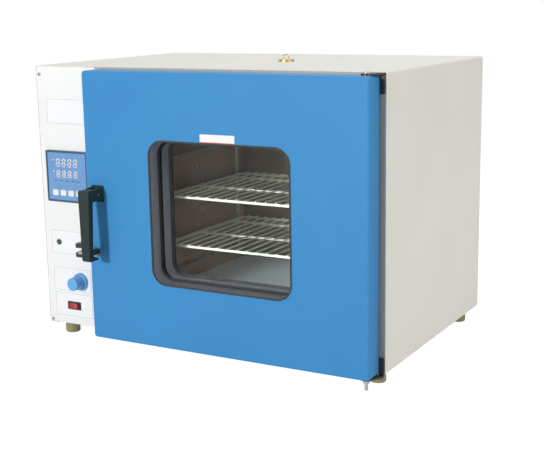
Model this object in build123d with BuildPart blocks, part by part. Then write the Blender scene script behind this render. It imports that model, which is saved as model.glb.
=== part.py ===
from build123d import *
import os

os.makedirs("parts", exist_ok=True)

# A bench-top forced-air drying oven. +Z is up and the front faces -Y.
# The origin is under the middle of the oven, at the height of the feet's soles.
# A "depth" is measured behind the cabinet's front face, so what stands proud has a negative depth.

# Working chamber, measured inside its stainless liner; the cabinet is sized round it
chamber_width = 420.0
chamber_depth = 350.0
chamber_height = 350.0
liner_wall = 1.0
liner_flange = 22.0
frame_reveal = 12.0
insulation_gap = 0.3

# Cabinet: what stands between the chamber and each outside face
control_bay = 130.0
bay_wool = 72.0
side_wool = 78.0
floor_wool = 66.0
roof_wool = 72.0
back_space = 104.0
rear_air_gap = 16.0
foot_height = 25.0
foot_radius = 14.0
foot_inset = 28.0
foot_depth_inset = 32.0
foot_edge = 3.0
sheet = 1.2
wrap_bend = 4.0
bottom_lip = 20.0
tray_flange = 15.0
fold_gap = 0.15
fold_share = 0.8
tray_gap = 3.0
wool_gap = 2.0
panel_play = 0.25

# Louvres in the rear cover, behind the control bay
louvre_width = 80.0
louvre_height = 5.0
louvre_pitch = 12.0
louvre_count = 8
louvre_share = 0.7

# Door and its window
strip_width = 138.5
door_thickness = 38.5
door_gap = 4.0
door_side_margin = 11.5
door_top_margin = 4.5
door_drop = 1.0
seam_reveal = 2.0
channel_gap = 0.1
door_corner = 6.0
door_edge_radius = 4.0
plug_depth = 33.0
plug_gap = 10.0
plug_corner = 12.0
plug_edge = 5.0
plug_wool_gap = 5.0
window_side_margin = 74.5
window_end_margin = 50.5
window_shift = 1.5
window_lift = 0.25
window_radius = 26.0
pane_thickness = 5.0
outer_pane_depth = 26.0
inner_pane_depth = 62.0
pane_inset = 1.0
pane_groove = 0.9
bead_width = 4.0
bead_lip = 2.0
trim_width = 2.0
trim_stand = 0.8
seal_width = 14.0
seal_stand_off = 4.0
seal_edge = 1.5
seat_gap = 0.3

# Hinges on the door's right edge
pivot_inset = 12.5
pivot_depth = 19.5
pin_radius = 3.0
running_gap = 0.05
bracket_thickness = 3.0
bracket_drop = 33.0
bracket_leaf_width = 8.0
bracket_end_radius = 9.0
bracket_root = 4.0
hinge_gap = 0.8
bush_radius = 5.0
bush_length = 12.0
bush_flange_step = 1.5
bush_play = 0.2
pocket_play = 2.0
pin_head_radius = 5.5
pin_head = 2.5
pin_head_edge = 1.2
pin_seat = 0.5
nut_radius = 6.0
nut_height = 5.0
pin_tail = 3.0
pin_end_gap = 1.0

# Door handle: a forked base, a lever that turns on a cross pin, and its latch finger
handle_inset = 14.0
handle_width = 24.0
handle_taper = 7.0
handle_reach = 48.5
handle_top = 278.5
handle_bottom = 153.0
handle_arm_height = 21.0
handle_corner = 4.0
handle_edge = 1.5
bar_depth = 12.0
lean_out = 5.5
nose_reach = 26.0
nose_height = 9.0
nose_flat = 1.0
nose_rise = 3.0
arm_step = 1.0
lever_pin_out = 14.5
lever_pin_radius = 2.5
hub_radius = 9.5
cheek_thickness = 4.0
cheek_rise = 1.0
cheek_play = 0.3
flange_rise = 3.0
shoulder_play = 0.6
base_plate = 4.0
boss_width = 10.5
boss_inset = 11.0
boss_sink = 2.0
boss_height = 9.0
boss_lift = 3.5
strap_thickness = 3.0
strap_out = 12.5
finger_thickness = 5.0
finger_width = 7.0
finger_reach = 9.0
finger_lift = 0.3
finger_engagement = 8.0
finger_end_radius = 2.5
strap_step = 1.0
taper_cut = 10.0

# Keeper on the control panel
latch_rise = 159.0
keeper_width = 27.0
keeper_height = 26.0
keeper_reach = 42.0
keeper_to_door = 5.5
keeper_corner = 1.5
keeper_slot = 8.8
roller_radius = 3.5
roller_pin_radius = 1.5
roller_gap = 0.5
roller_recess = 1.0
roller_pin_end = 0.5

# Control strip to the left of the door; places run from its left edge and the cabinet's base
controller_size = 96.0
controller_left = 16.0
controller_rise = 237.3
controller_stand = 6.0
controller_corner = 3.0
controller_edge = 1.5
controller_border = 3.5
face_set_back = 1.2
face_thickness = 2.6
controller_body_depth = 75.0
body_inset = 2.5
body_corner = 1.0
body_rim = 4.0
terminal_width = 6.0
display_width = 66.0
display_height = 42.0
display_lift = 15.0
display_corner = 2.0
display_play = 0.1
display_set_back = 0.2
key_width = 13.4
key_height = 11.0
key_corner = 1.5
key_edge = 0.6
key_pitch = 18.15
key_count = 4
key_left = 28.2
key_drop = 30.4
key_stand = 0.9
key_travel_gap = 0.2
key_gap = 0.3
led_radius = 1.2
led_edge = 0.5
led_pitch = 13.1
led_count = 5
led_left = 26.6
led_drop = 11.9
plate_left_inset = 15.5
plate_width = 88.0
plate_height = 46.0
plate_thickness = 0.6
plate_corner = 1.0
plate_rises = (405.3, 159.5, 88.0, 39.2)
plate_shifts = (5.5, 0.0, 0.5, 1.5)
plate_play = 0.3
plate_lamp_play = 0.2
screw_head_radius = 3.2
screw_head_height = 1.6
screw_head_edge = 1.0
screw_inset = 8.0
screw_low = 5.0
screw_high = 16.0
lamp_inset = 33.3
lamp_rise = 159.3
lamp_radius = 4.2
lamp_collar = 1.2
lamp_collar_stand = 1.8
lamp_length = 24.0
lamp_wall = 1.0
lamp_bore_depth = 8.0
lens_stand = 3.2
lens_play = 0.05
lens_dome = 1.6
lens_back_gap = 0.2
knob_inset = 80.2
knob_rise = 87.2
knob_radius = 16.5
knob_length = 27.0
knob_stand = 1.2
knob_edge = 1.5
skirt_height = 5.0
skirt_slope = 0.5
skirt_shoulder = 1.5
knob_top_radius = 12.0
knob_bore_depth = 18.0
grip_count = 18
grip_radius = 1.4
grip_offset = 2.4
rocker_inset = 61.5
rocker_rise = 37.8
rocker_frame_width = 31.0
rocker_frame_height = 15.6
rocker_frame_stand = 2.0
rocker_frame_corner = 1.5
rocker_frame_edge = 0.8
rocker_body_depth = 22.0
rocker_body_inset = 1.5
pocket_width = 25.4
pocket_height = 10.8
pocket_depth = 19.0
rocker_height = 10.2
rocker_radius = 12.3
rocker_pivot_at = 3.0
rocker_crest = 5.0
rocker_shoulder_drop = 2.6
rocker_back = 5.0
rocker_edge = 0.5
rocker_tilt = 8.0

# Damper and the fresh air duct it closes
damper_shaft_radius = 3.0
duct_radius = 18.0
duct_depth = 110.0
duct_wall = 1.0
duct_play = 0.5
duct_bay_reach = 28.8
shaft_overrun = 6.0
flap_thickness = 1.2
flap_play = 0.6
flap_hub = 1.5
flap_hub_inset = 2.0

# Shelves, floor and air duct panel inside the chamber
duct_space = 31.0
floor_space = 14.0
floor_left_gap = 0.5
floor_right_gap = 2.0
floor_back_gap = 3.0
duct_back_gap = 2.0
inner_front = 34.0
shelf_rises = (100.0, 189.5)
spare_rise = 261.1
shelf_front = 45.0
shelf_back_gap = 20.0
frame_rod = 2.5
frame_bend = 9.0
cross_rod_radius = 2.2
cross_rod_pitch = 115.0
cross_rod_count = 2
grid_rod = 1.5
grid_pitch = 20.0
wire_end = 0.2
rack_rod = 3.0
rack_inset = 15.0
rack_back_inset = 10.0
rack_top_gap = 20.0
runner_inset = 4.0
weld_sink = 0.6
shelf_side_gap = 1.0
grille_hole_radius = 4.0
grille_rings = ((16.0, 6), (32.0, 12), (48.0, 18))
outlet_count = 9
outlet_pitch = 30.0
outlet_length = 20.0
outlet_height = 8.0
outlet_top_gap = 30.0
outlet_base_gap = 45.0

# Circulation fan, heater and temperature probe
impeller_radius = 70.0
impeller_width = 16.0
impeller_clearance = 4.0
blade_count = 16
blade_thickness = 1.2
blade_inner_share = 0.55
blade_sweep = 32.0
blade_curve = 0.7
blade_tip_gap = 1.5
rim_width = 10.0
fan_to_back = 160.0
fan_shaft_radius = 4.0
fan_hub_radius = 10.0
fan_hole_radius = 12.0
shaft_chamfer = 0.6
shaft_start_gap = 1.0
shaft_end_gap = 2.0
motor_radius = 40.0
motor_length = 68.0
motor_flange = 6.0
motor_flange_reach = 6.0
motor_flange_corner = 8.0
motor_edge = 6.0
heater_ring_radius = 96.0
heater_tube_radius = 4.0
heater_leg_spread = 12.0
heater_leg_reach = 22.0
heater_leg_play = 1.0
probe_radius = 2.0
probe_play = 0.5
probe_drop = 26.0
probe_back_gap = 50.0
probe_reach = 22.0
probe_tail = 24.0
probe_nut_radius = 6.5
probe_nut_height = 8.0

# Relay with its heat sink, beside the motor
relay_depth = 60.0
relay_height = 80.0
relay_stand = 26.0
relay_from_fan = 90.0
relay_below_probe = 62.0
fin_count = 8
fin_gap = 4.5
fin_depth = 22.0

# Exhaust vent on the roof
vent_shift = 5.6
vent_forward = 8.5
vent_radius = 15.0
vent_bore = 9.0
vent_wall = 1.5
vent_roof_play = 2.0
vent_wool_play = 0.5
vent_flange = 1.6
vent_edge = 0.5
vent_hole_radius = 3.0
vent_hole_circle = 5.6
vent_hole_count = 4
vent_hole_turn = 45.0
disc_set_back = 1.2
disc_thickness = 2.4
disc_gap = 0.2
disc_edge = 0.8
disc_pivot_radius = 1.5
pull_radius = 0.8
pull_half = 5.0
pull_splay = 1.0
pull_height = 8.0
pull_bend = 2.5
pull_sink = 0.5

# Cable gland at the back
gland_rise = 45.0
gland_reach = 22.0
gland_radius = 11.0
gland_nut = 8.0
gland_neck_share = 0.68
gland_seat_share = 0.7
gland_bore = 4.0
gland_edge = 2.0
gland_sink = 10.0

# How far a cutting shape runs past the face that it cuts
overcut = 1.0

# Places that follow from the sizes above
cabinet_width = control_bay + bay_wool + chamber_width + side_wool
cabinet_height = floor_wool + chamber_height + roof_wool
cabinet_depth = chamber_depth + back_space
half_width = cabinet_width / 2
base_z = foot_height
top_z = base_z + cabinet_height
door_front = -door_gap - door_thickness
door_back = -door_gap
front_reach = handle_reach - door_front
back_reach = cabinet_depth + gland_reach
front_y = (front_reach - back_reach) / 2
inner_half = half_width - sheet - fold_gap
inner_base = base_z + sheet + fold_gap
inner_top = top_z - sheet - fold_gap
partition_x = -half_width + control_bay
chamber_left = partition_x + bay_wool
chamber_right = chamber_left + chamber_width
chamber_base = base_z + floor_wool
chamber_top = chamber_base + chamber_height
chamber_mid_x = (chamber_left + chamber_right) / 2
chamber_mid_z = (chamber_base + chamber_top) / 2
door_left = -half_width + strip_width
door_right = half_width - door_side_margin
door_base = base_z - door_drop
door_top = top_z - door_top_margin
window_x = chamber_mid_x + window_shift
window_z = chamber_mid_z + window_lift
window_width = chamber_width - 2 * window_side_margin
window_height = chamber_height - 2 * window_end_margin
seam_x = door_left - seam_reveal
duct_x = chamber_left + duct_space
floor_z = chamber_base + floor_space
shelf_depth = chamber_depth - shelf_front - shelf_back_gap
fan_depth = chamber_depth - fan_to_back
fan_z = chamber_mid_z
heater_z = fan_z - heater_ring_radius
probe_depth = chamber_depth - probe_back_gap
probe_z = chamber_top - probe_drop
vent_x = chamber_mid_x - vent_shift
vent_depth = cabinet_depth / 2 - vent_forward
strip_left = -half_width
knob_x = strip_left + knob_inset
knob_z = base_z + knob_rise


def facing(depth):
    """Upright plane that faces the front; its own X and Y are the oven's X and Z."""
    return Plane(origin=(0, front_y + depth, 0), x_dir=(1, 0, 0), z_dir=(0, -1, 0))


def side_point(depth, z):
    """Point in a side view, where the sketch's X runs back from the origin."""
    return (front_y + depth, z)


def around(middle, size):
    """Span of this size about its middle."""
    return (middle - size / 2, middle + size / 2)


def block(x_span, depth_span, z_span, corner=0, mode=Mode.ADD):
    """Box in the part being built; corner rounds its four edges that run front to back."""
    middle = ((x_span[0] + x_span[1]) / 2, (z_span[0] + z_span[1]) / 2)
    width = x_span[1] - x_span[0]
    height = z_span[1] - z_span[0]
    with BuildSketch(facing(depth_span[0])) as outline:
        with Locations(middle):
            if corner > 0:
                RectangleRounded(width, height, corner)
            else:
                Rectangle(width, height)
    extrude(outline.sketch, amount=depth_span[0] - depth_span[1], mode=mode)


def window_block(grow, depth_span, mode=Mode.ADD):
    """Block with the window's outline, grown or shrunk all round."""
    block(
        around(window_x, window_width + 2 * grow),
        depth_span,
        around(window_z, window_height + 2 * grow),
        corner=window_radius + grow,
        mode=mode,
    )


def rod_x(x_span, depth, z, radius, mode=Mode.ADD):
    """Round bar or bore from side to side."""
    with BuildSketch(Plane.YZ.offset(x_span[0])) as outline:
        with Locations((front_y + depth, z)):
            Circle(radius)
    extrude(outline.sketch, amount=x_span[1] - x_span[0], mode=mode)


def rod_y(x, depth_span, z, radius, mode=Mode.ADD):
    """Round bar or bore from front to back."""
    with BuildSketch(facing(depth_span[0])) as outline:
        with Locations((x, z)):
            Circle(radius)
    extrude(outline.sketch, amount=depth_span[0] - depth_span[1], mode=mode)


def rod_z(x, depth, z_span, radius, mode=Mode.ADD):
    """Upright round bar or bore."""
    with BuildSketch(Plane.XY.offset(z_span[0])) as outline:
        with Locations((x, front_y + depth)):
            Circle(radius)
    extrude(outline.sketch, amount=z_span[1] - z_span[0], mode=mode)


def side_holes(x_span, duct_hole):
    """Holes for what runs from the bay into the chamber: shaft, air duct, probe and heater legs."""
    rod_x(x_span, fan_depth, fan_z, fan_hole_radius, mode=Mode.SUBTRACT)
    rod_x(x_span, duct_depth, knob_z, duct_hole, mode=Mode.SUBTRACT)
    rod_x(x_span, probe_depth, probe_z, probe_radius + probe_play, mode=Mode.SUBTRACT)
    for leg_side in (-1, 1):
        leg_depth = fan_depth + leg_side * heater_leg_spread
        rod_x(x_span, leg_depth, heater_z, heater_tube_radius + heater_leg_play, mode=Mode.SUBTRACT)


# Cabinet: one sheet wrapped over both sides and the roof, its lower edges turned in
with BuildPart() as outer_shell:
    block((-half_width, half_width), (0, cabinet_depth), (base_z, top_z), corner=wrap_bend)
    block(
        (-half_width + sheet, half_width - sheet),
        (0, cabinet_depth),
        (base_z + sheet, top_z - sheet),
        corner=wrap_bend - sheet,
        mode=Mode.SUBTRACT,
    )
    block(
        (-half_width + bottom_lip, half_width - bottom_lip),
        (0, cabinet_depth),
        (base_z - overcut, base_z + 2 * sheet),
        mode=Mode.SUBTRACT,
    )
    roof_cut = (top_z - 2 * sheet, top_z + overcut)
    rod_z(vent_x, vent_depth, roof_cut, vent_bore + vent_roof_play, mode=Mode.SUBTRACT)
outer_shell.part.label = "outer_shell"
export_step(outer_shell.part, "parts/outer_shell.step")

pan_span = (tray_flange + tray_gap, cabinet_depth - tray_flange - tray_gap)
with BuildPart() as base_pan:
    block(
        (-inner_half, inner_half),
        pan_span,
        (inner_base, inner_base + tray_flange),
        corner=wrap_bend - sheet,
    )
    block(
        (-inner_half + sheet, inner_half - sheet),
        pan_span,
        (inner_base + sheet, inner_base + 2 * tray_flange),
        mode=Mode.SUBTRACT,
    )
base_pan.part.label = "base_pan"
export_step(base_pan.part, "parts/base_pan.step")

bay_mid_x = (-half_width + partition_x) / 2
gland_x = bay_mid_x
gland_z = base_z + gland_rise
with BuildPart() as rear_cover:
    block(
        (-inner_half, inner_half),
        (cabinet_depth - tray_flange, cabinet_depth),
        (inner_base, inner_top),
        corner=wrap_bend - sheet,
    )
    block(
        (-inner_half + sheet, inner_half - sheet),
        (cabinet_depth - tray_flange - overcut, cabinet_depth - sheet),
        (inner_base + sheet, inner_top - sheet),
        mode=Mode.SUBTRACT,
    )
    with BuildSketch(facing(cabinet_depth - 2 * sheet)):
        with Locations((bay_mid_x, base_z + cabinet_height * louvre_share)):
            with GridLocations(0, louvre_pitch, 1, louvre_count):
                SlotOverall(louvre_width, louvre_height)
    extrude(amount=-3 * sheet, mode=Mode.SUBTRACT)
    gland_cut = (cabinet_depth - 2 * sheet, cabinet_depth + overcut)
    rod_y(gland_x, gland_cut, gland_z, gland_radius * gland_seat_share, mode=Mode.SUBTRACT)
rear_cover.part.label = "rear_cover"
export_step(rear_cover.part, "parts/rear_cover.step")

# Front frame: a folded tray with the chamber's mouth cut in it
frame_left = seam_x + fold_gap
with BuildPart() as front_frame:
    block((frame_left, inner_half), (0, tray_flange), (inner_base, inner_top), corner=wrap_bend - sheet)
    fillet(front_frame.faces().sort_by(Axis.Y)[0].outer_wire().edges(), sheet * fold_share)
    block(
        (frame_left + sheet, inner_half - sheet),
        (sheet, tray_flange + overcut),
        (inner_base + sheet, inner_top - sheet),
        mode=Mode.SUBTRACT,
    )
    block(
        (chamber_left - frame_reveal, chamber_right + frame_reveal),
        (-overcut, 2 * sheet),
        (chamber_base - frame_reveal, chamber_top + frame_reveal),
        corner=frame_reveal,
        mode=Mode.SUBTRACT,
    )
front_frame.part.label = "front_frame"
export_step(front_frame.part, "parts/front_frame.step")

# Controls: their places on the strip
controller_x = strip_left + controller_left + controller_size / 2
controller_z = base_z + controller_rise + controller_size / 2
rocker_x = strip_left + rocker_inset
rocker_z = base_z + rocker_rise
lamp_x = strip_left + lamp_inset
lamp_z = base_z + lamp_rise
body_size = controller_size - 2 * body_inset
panel_right = seam_x - fold_gap
screw_places = [
    (x, z)
    for x in (strip_left + screw_inset, panel_right - screw_inset)
    for z in (base_z + screw_low + sheet, top_z - screw_high)
]
rocker_body_width = rocker_frame_width - 2 * rocker_body_inset
rocker_body_height = rocker_frame_height - 2 * rocker_body_inset
panel_cut = (-overcut, 2 * sheet)

with BuildPart() as control_panel:
    block((-inner_half, panel_right), (0, tray_flange), (inner_base, inner_top), corner=wrap_bend - sheet)
    fillet(control_panel.faces().sort_by(Axis.Y)[0].outer_wire().edges(), sheet * fold_share)
    block(
        (-inner_half + sheet, panel_right - sheet),
        (sheet, tray_flange + overcut),
        (inner_base + sheet, inner_top - sheet),
        mode=Mode.SUBTRACT,
    )
    block(
        around(controller_x, body_size + 2 * panel_play),
        panel_cut,
        around(controller_z, body_size + 2 * panel_play),
        mode=Mode.SUBTRACT,
    )
    block(
        around(rocker_x, rocker_body_width + 2 * panel_play),
        panel_cut,
        around(rocker_z, rocker_body_height + 2 * panel_play),
        mode=Mode.SUBTRACT,
    )
    rod_y(knob_x, panel_cut, knob_z, damper_shaft_radius + running_gap, mode=Mode.SUBTRACT)
    rod_y(lamp_x, panel_cut, lamp_z, lamp_radius + panel_play, mode=Mode.SUBTRACT)
control_panel.part.label = "control_panel"
export_step(control_panel.part, "parts/control_panel.step")

with BuildPart() as panel_screws:
    for screw_x, screw_z in screw_places:
        rod_y(screw_x, (-screw_head_height, 0), screw_z, screw_head_radius)
    fillet(panel_screws.faces().filter_by(Axis.Y).group_by(Axis.Y)[0].edges(), screw_head_edge)
panel_screws.part.label = "panel_screws"
export_step(panel_screws.part, "parts/panel_screws.step")

# Stainless liner of the chamber, with a front flange behind the front frame
liner_front = sheet + fold_gap
left_wall_cut = (chamber_left - liner_wall - overcut, chamber_left + overcut)
with BuildPart() as chamber_liner:
    block(
        (chamber_left - liner_wall, chamber_right + liner_wall),
        (liner_front, chamber_depth + liner_wall),
        (chamber_base - liner_wall, chamber_top + liner_wall),
    )
    block(
        (chamber_left - liner_flange, chamber_right + liner_flange),
        (liner_front, liner_front + liner_wall),
        (chamber_base - liner_flange, chamber_top + liner_flange),
        corner=frame_reveal,
    )
    block(
        (chamber_left, chamber_right),
        (liner_front - overcut, chamber_depth),
        (chamber_base, chamber_top),
        mode=Mode.SUBTRACT,
    )
    side_holes(left_wall_cut, duct_radius)
    roof_wall_cut = (chamber_top - overcut, chamber_top + liner_wall + overcut)
    rod_z(vent_x, vent_depth, roof_wall_cut, vent_bore, mode=Mode.SUBTRACT)
chamber_liner.part.label = "chamber_liner"
export_step(chamber_liner.part, "parts/chamber_liner.step")

partition_left = partition_x - sheet
with BuildPart() as partition:
    block(
        (partition_left, partition_x),
        (tray_flange + wool_gap, cabinet_depth - tray_flange - wool_gap),
        (inner_base + sheet + seat_gap, inner_top - seat_gap),
    )
    side_holes((partition_left - overcut, partition_x + overcut), duct_radius + duct_wall + duct_play)
partition.part.label = "partition"
export_step(partition.part, "parts/partition.step")

# Mineral wool slabs round the liner
wool_left = (partition_x + insulation_gap, chamber_left - liner_wall - insulation_gap)
wool_right = (chamber_right + liner_wall + 2 * insulation_gap, inner_half - sheet - insulation_gap)
wool_middle = (chamber_left - liner_wall, chamber_right + liner_wall + insulation_gap)
wool_depth = (tray_flange + wool_gap, cabinet_depth - sheet - rear_air_gap)
wool_base = inner_base + sheet + insulation_gap
wool_top = top_z - sheet - insulation_gap - tray_flange
liner_under = chamber_base - liner_wall - insulation_gap
liner_over = chamber_top + liner_wall + insulation_gap
with BuildPart() as insulation_slabs:
    block(wool_left, wool_depth, (wool_base, wool_top))
    side_holes((wool_left[0] - overcut, wool_left[1] + overcut), duct_radius + duct_wall + duct_play)
    block(wool_right, wool_depth, (wool_base, wool_top))
    block(wool_middle, wool_depth, (liner_over, wool_top))
    vent_cut = (liner_over - overcut, top_z)
    rod_z(vent_x, vent_depth, vent_cut, vent_bore + vent_wall + vent_wool_play, mode=Mode.SUBTRACT)
    block(wool_middle, wool_depth, (wool_base, liner_under))
    block(
        wool_middle,
        (chamber_depth + liner_wall + insulation_gap, wool_depth[1]),
        (liner_under + insulation_gap, liner_over - insulation_gap),
    )
insulation_slabs.part.label = "insulation_slabs"
export_step(insulation_slabs.part, "parts/insulation_slabs.step")

with BuildPart() as feet:
    for foot_x in (-half_width + foot_inset, half_width - foot_inset):
        for foot_depth in (foot_depth_inset, cabinet_depth - foot_depth_inset):
            rod_z(foot_x, foot_depth, (0, base_z), foot_radius)
    fillet(feet.edges().filter_by(GeomType.CIRCLE).group_by(Axis.Z)[0], foot_edge)
feet.part.label = "feet"
export_step(feet.part, "parts/feet.step")

# Chamber floor: a plate on folded legs over the liner's floor
floor_left = duct_x + floor_left_gap
floor_right = chamber_right - floor_right_gap
with BuildPart() as floor_plate:
    block(
        (floor_left, floor_right),
        (inner_front, chamber_depth - floor_back_gap),
        (chamber_base + seat_gap, floor_z),
    )
    block(
        (floor_left + sheet, floor_right - sheet),
        (inner_front - overcut, chamber_depth),
        (chamber_base, floor_z - sheet),
        mode=Mode.SUBTRACT,
    )
floor_plate.part.label = "floor_plate"
export_step(floor_plate.part, "parts/floor_plate.step")

# Air duct panel: folded sheet that hides the fan, with a ring grille at the fan and rows of air holes
duct_back = chamber_depth - duct_back_gap
duct_face = duct_x - liner_wall
duct_face_cut = (duct_face - overcut, duct_x + overcut)
with BuildPart() as duct_panel:
    block(
        (chamber_left + seat_gap, duct_x),
        (inner_front, duct_back),
        (chamber_base + seat_gap, chamber_top - seat_gap),
    )
    block(
        (chamber_left - overcut, duct_face),
        (inner_front + liner_wall, duct_back - liner_wall),
        (chamber_base - overcut, chamber_top + overcut),
        mode=Mode.SUBTRACT,
    )
    with BuildSketch(Plane.YZ.offset(duct_face_cut[0])):
        with Locations(side_point(fan_depth, fan_z)):
            Circle(grille_hole_radius)
            for ring_radius, ring_holes in grille_rings:
                with PolarLocations(ring_radius, ring_holes):
                    Circle(grille_hole_radius)
        for row_z in (chamber_top - outlet_top_gap, chamber_base + outlet_base_gap):
            with Locations(side_point(fan_depth, row_z)):
                with GridLocations(outlet_pitch, 1, outlet_count, 1):
                    SlotOverall(outlet_length, outlet_height)
    extrude(amount=duct_face_cut[1] - duct_face_cut[0], mode=Mode.SUBTRACT)
    rod_x(duct_face_cut, probe_depth, probe_z, probe_radius + probe_play, mode=Mode.SUBTRACT)
duct_panel.part.label = "duct_panel"
export_step(duct_panel.part, "parts/duct_panel.step")

# Shelves: a bent frame rod, two cross rods, and grid wires welded on top of them
shelf_left = duct_x + seat_gap + 2 * rack_rod + shelf_side_gap
shelf_right = chamber_right - seat_gap - 2 * rack_rod - shelf_side_gap
shelf_back = shelf_front + shelf_depth
shelf_mid_x = (shelf_left + shelf_right) / 2
loop_left = shelf_left + frame_rod
loop_right = shelf_right - frame_rod
loop_front = front_y + shelf_front + frame_rod
loop_back = front_y + shelf_back - frame_rod
wire_lift = frame_rod + grid_rod - weld_sink
cross_lift = frame_rod - cross_rod_radius - weld_sink / 4
grid_count = int((shelf_right - shelf_left - 4 * frame_rod) / grid_pitch)
shelf_names = ("wire_shelf_lower", "wire_shelf_upper")
for shelf_name, rise in zip(shelf_names, shelf_rises):
    shelf_z = chamber_base + rise
    with BuildPart() as wire_shelf:
        with BuildLine() as loop:
            FilletPolyline(
                (loop_left, loop_front, shelf_z),
                (loop_right, loop_front, shelf_z),
                (loop_right, loop_back, shelf_z),
                (loop_left, loop_back, shelf_z),
                radius=frame_bend,
                close=True,
            )
        loop_path = loop.wire()
        with BuildSketch(Plane(origin=loop_path @ 0, z_dir=loop_path % 0)) as rod_section:
            Circle(frame_rod)
        sweep(rod_section.sketch, path=loop_path)
        for cross in range(1, cross_rod_count + 1):
            cross_depth = shelf_front + frame_rod + cross * cross_rod_pitch
            rod_x((loop_left, loop_right), cross_depth, shelf_z + cross_lift, cross_rod_radius)
        with BuildSketch(facing(shelf_front + wire_end)):
            with Locations((shelf_mid_x, shelf_z + wire_lift)):
                with GridLocations(grid_pitch, 1, grid_count, 1):
                    Circle(grid_rod)
        extrude(amount=-(shelf_depth - 2 * wire_end))
    wire_shelf.part.label = shelf_name
    export_step(wire_shelf.part, f"parts/{shelf_name}.step")

# Shelf racks: two uprights a side, and a runner under each shelf position and one spare
runner_drop = frame_rod + rack_rod + seat_gap
runner_z = [chamber_base + rise - runner_drop for rise in (*shelf_rises, spare_rise)]
with BuildPart() as shelf_racks:
    sides = ((duct_x + seat_gap, 1), (chamber_right - seat_gap, -1))
    for wall_x, inward in sides:
        upright_x = wall_x + inward * rack_rod
        runner_x = wall_x + inward * (3 * rack_rod - weld_sink)
        for rack_depth in (shelf_front + rack_inset, shelf_back - rack_back_inset):
            rod_z(upright_x, rack_depth, (floor_z + seat_gap, chamber_top - rack_top_gap), rack_rod)
        for z in runner_z:
            rod_y(runner_x, (shelf_front + runner_inset, shelf_back - runner_inset), z, rack_rod)
shelf_racks.part.label = "shelf_racks"
export_step(shelf_racks.part, "parts/shelf_racks.step")

# Fan: motor in the left compartment, shaft through the insulation, impeller behind the duct panel
shaft_left = partition_left - motor_length / 2
impeller_left = chamber_left + impeller_clearance
shaft_right = impeller_left + impeller_width - shaft_end_gap
motor_plate = partition_left - motor_flange
with BuildPart() as fan_motor:
    rod_x((partition_left - motor_length, motor_plate), fan_depth, fan_z, motor_radius)
    fillet(fan_motor.faces().sort_by(Axis.X)[0].edges(), motor_edge)
    with BuildSketch(Plane.YZ.offset(motor_plate)):
        with Locations(side_point(fan_depth, fan_z)):
            plate_size = 2 * (motor_radius + motor_flange_reach)
            RectangleRounded(plate_size, plate_size, motor_flange_corner)
    extrude(amount=motor_flange)
    motor_bore = (shaft_left, partition_left + overcut)
    rod_x(motor_bore, fan_depth, fan_z, fan_shaft_radius + running_gap, mode=Mode.SUBTRACT)
fan_motor.part.label = "fan_motor"
export_step(fan_motor.part, "parts/fan_motor.step")

with BuildPart() as fan_shaft:
    rod_x((shaft_left + shaft_start_gap, shaft_right), fan_depth, fan_z, fan_shaft_radius)
    chamfer(fan_shaft.faces().sort_by(Axis.X)[-1].edges(), shaft_chamfer)
fan_shaft.part.label = "fan_shaft"
export_step(fan_shaft.part, "parts/fan_shaft.step")

# Impeller: back plate and hub with backward-curved blades between the plate and a rim ring
blade_height = impeller_width - 2 * blade_thickness
with BuildPart() as fan_impeller:
    with BuildSketch(Plane.YZ.offset(impeller_left)):
        with Locations(side_point(fan_depth, fan_z)):
            Circle(impeller_radius)
            Circle(fan_shaft_radius, mode=Mode.SUBTRACT)
    extrude(amount=blade_thickness)
    with BuildSketch(Plane.YZ.offset(impeller_left + blade_thickness)):
        with Locations(side_point(fan_depth, fan_z)):
            Circle(fan_hub_radius)
            Circle(fan_shaft_radius, mode=Mode.SUBTRACT)
    extrude(amount=blade_height)
    blade_plane = Plane(
        origin=(impeller_left + blade_thickness, front_y + fan_depth, fan_z),
        x_dir=(0, 1, 0),
        z_dir=(1, 0, 0),
    )
    with BuildSketch(blade_plane):
        with PolarLocations(0, blade_count):
            with BuildLine():
                blade_root = Vector(impeller_radius * blade_inner_share, 0)
                blade_tip = Vector(impeller_radius - blade_tip_gap, 0).rotate(Axis.Z, -blade_sweep)
                blade_arc = RadiusArc(blade_root, blade_tip, impeller_radius * blade_curve)
                offset(blade_arc, amount=blade_thickness / 2)
            make_face()
    extrude(amount=blade_height)
    with BuildSketch(Plane.YZ.offset(impeller_left + impeller_width - blade_thickness)):
        with Locations(side_point(fan_depth, fan_z)):
            Circle(impeller_radius)
            Circle(impeller_radius - rim_width, mode=Mode.SUBTRACT)
    extrude(amount=blade_thickness)
fan_impeller.part.label = "fan_impeller"
export_step(fan_impeller.part, "parts/fan_impeller.step")

# Tubular heater: a ring round the impeller with two legs through the insulation
ring_x = chamber_left + duct_space / 2
with BuildPart() as heater_element:
    ring_plane = Plane(origin=(ring_x, front_y + fan_depth, fan_z), x_dir=(0, 1, 0), z_dir=(1, 0, 0))
    with BuildSketch(Plane(ring_plane.origin, x_dir=(0, 1, 0), z_dir=(0, 0, 1))):
        with Locations((heater_ring_radius, 0)):
            Circle(heater_tube_radius)
    revolve(axis=Axis(ring_plane.origin, (1, 0, 0)), revolution_arc=360)
    with BuildSketch(ring_plane.offset(-heater_tube_radius - overcut)):
        with Locations((0, -heater_ring_radius)):
            Rectangle(2 * heater_leg_spread, 4 * heater_tube_radius)
    extrude(amount=2 * (heater_tube_radius + overcut), mode=Mode.SUBTRACT)
    for leg_side in (-1, 1):
        rod_x(
            (partition_x - heater_leg_reach, ring_x + heater_tube_radius),
            fan_depth + leg_side * heater_leg_spread,
            heater_z,
            heater_tube_radius,
        )
heater_element.part.label = "heater_element"
export_step(heater_element.part, "parts/heater_element.step")

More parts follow.
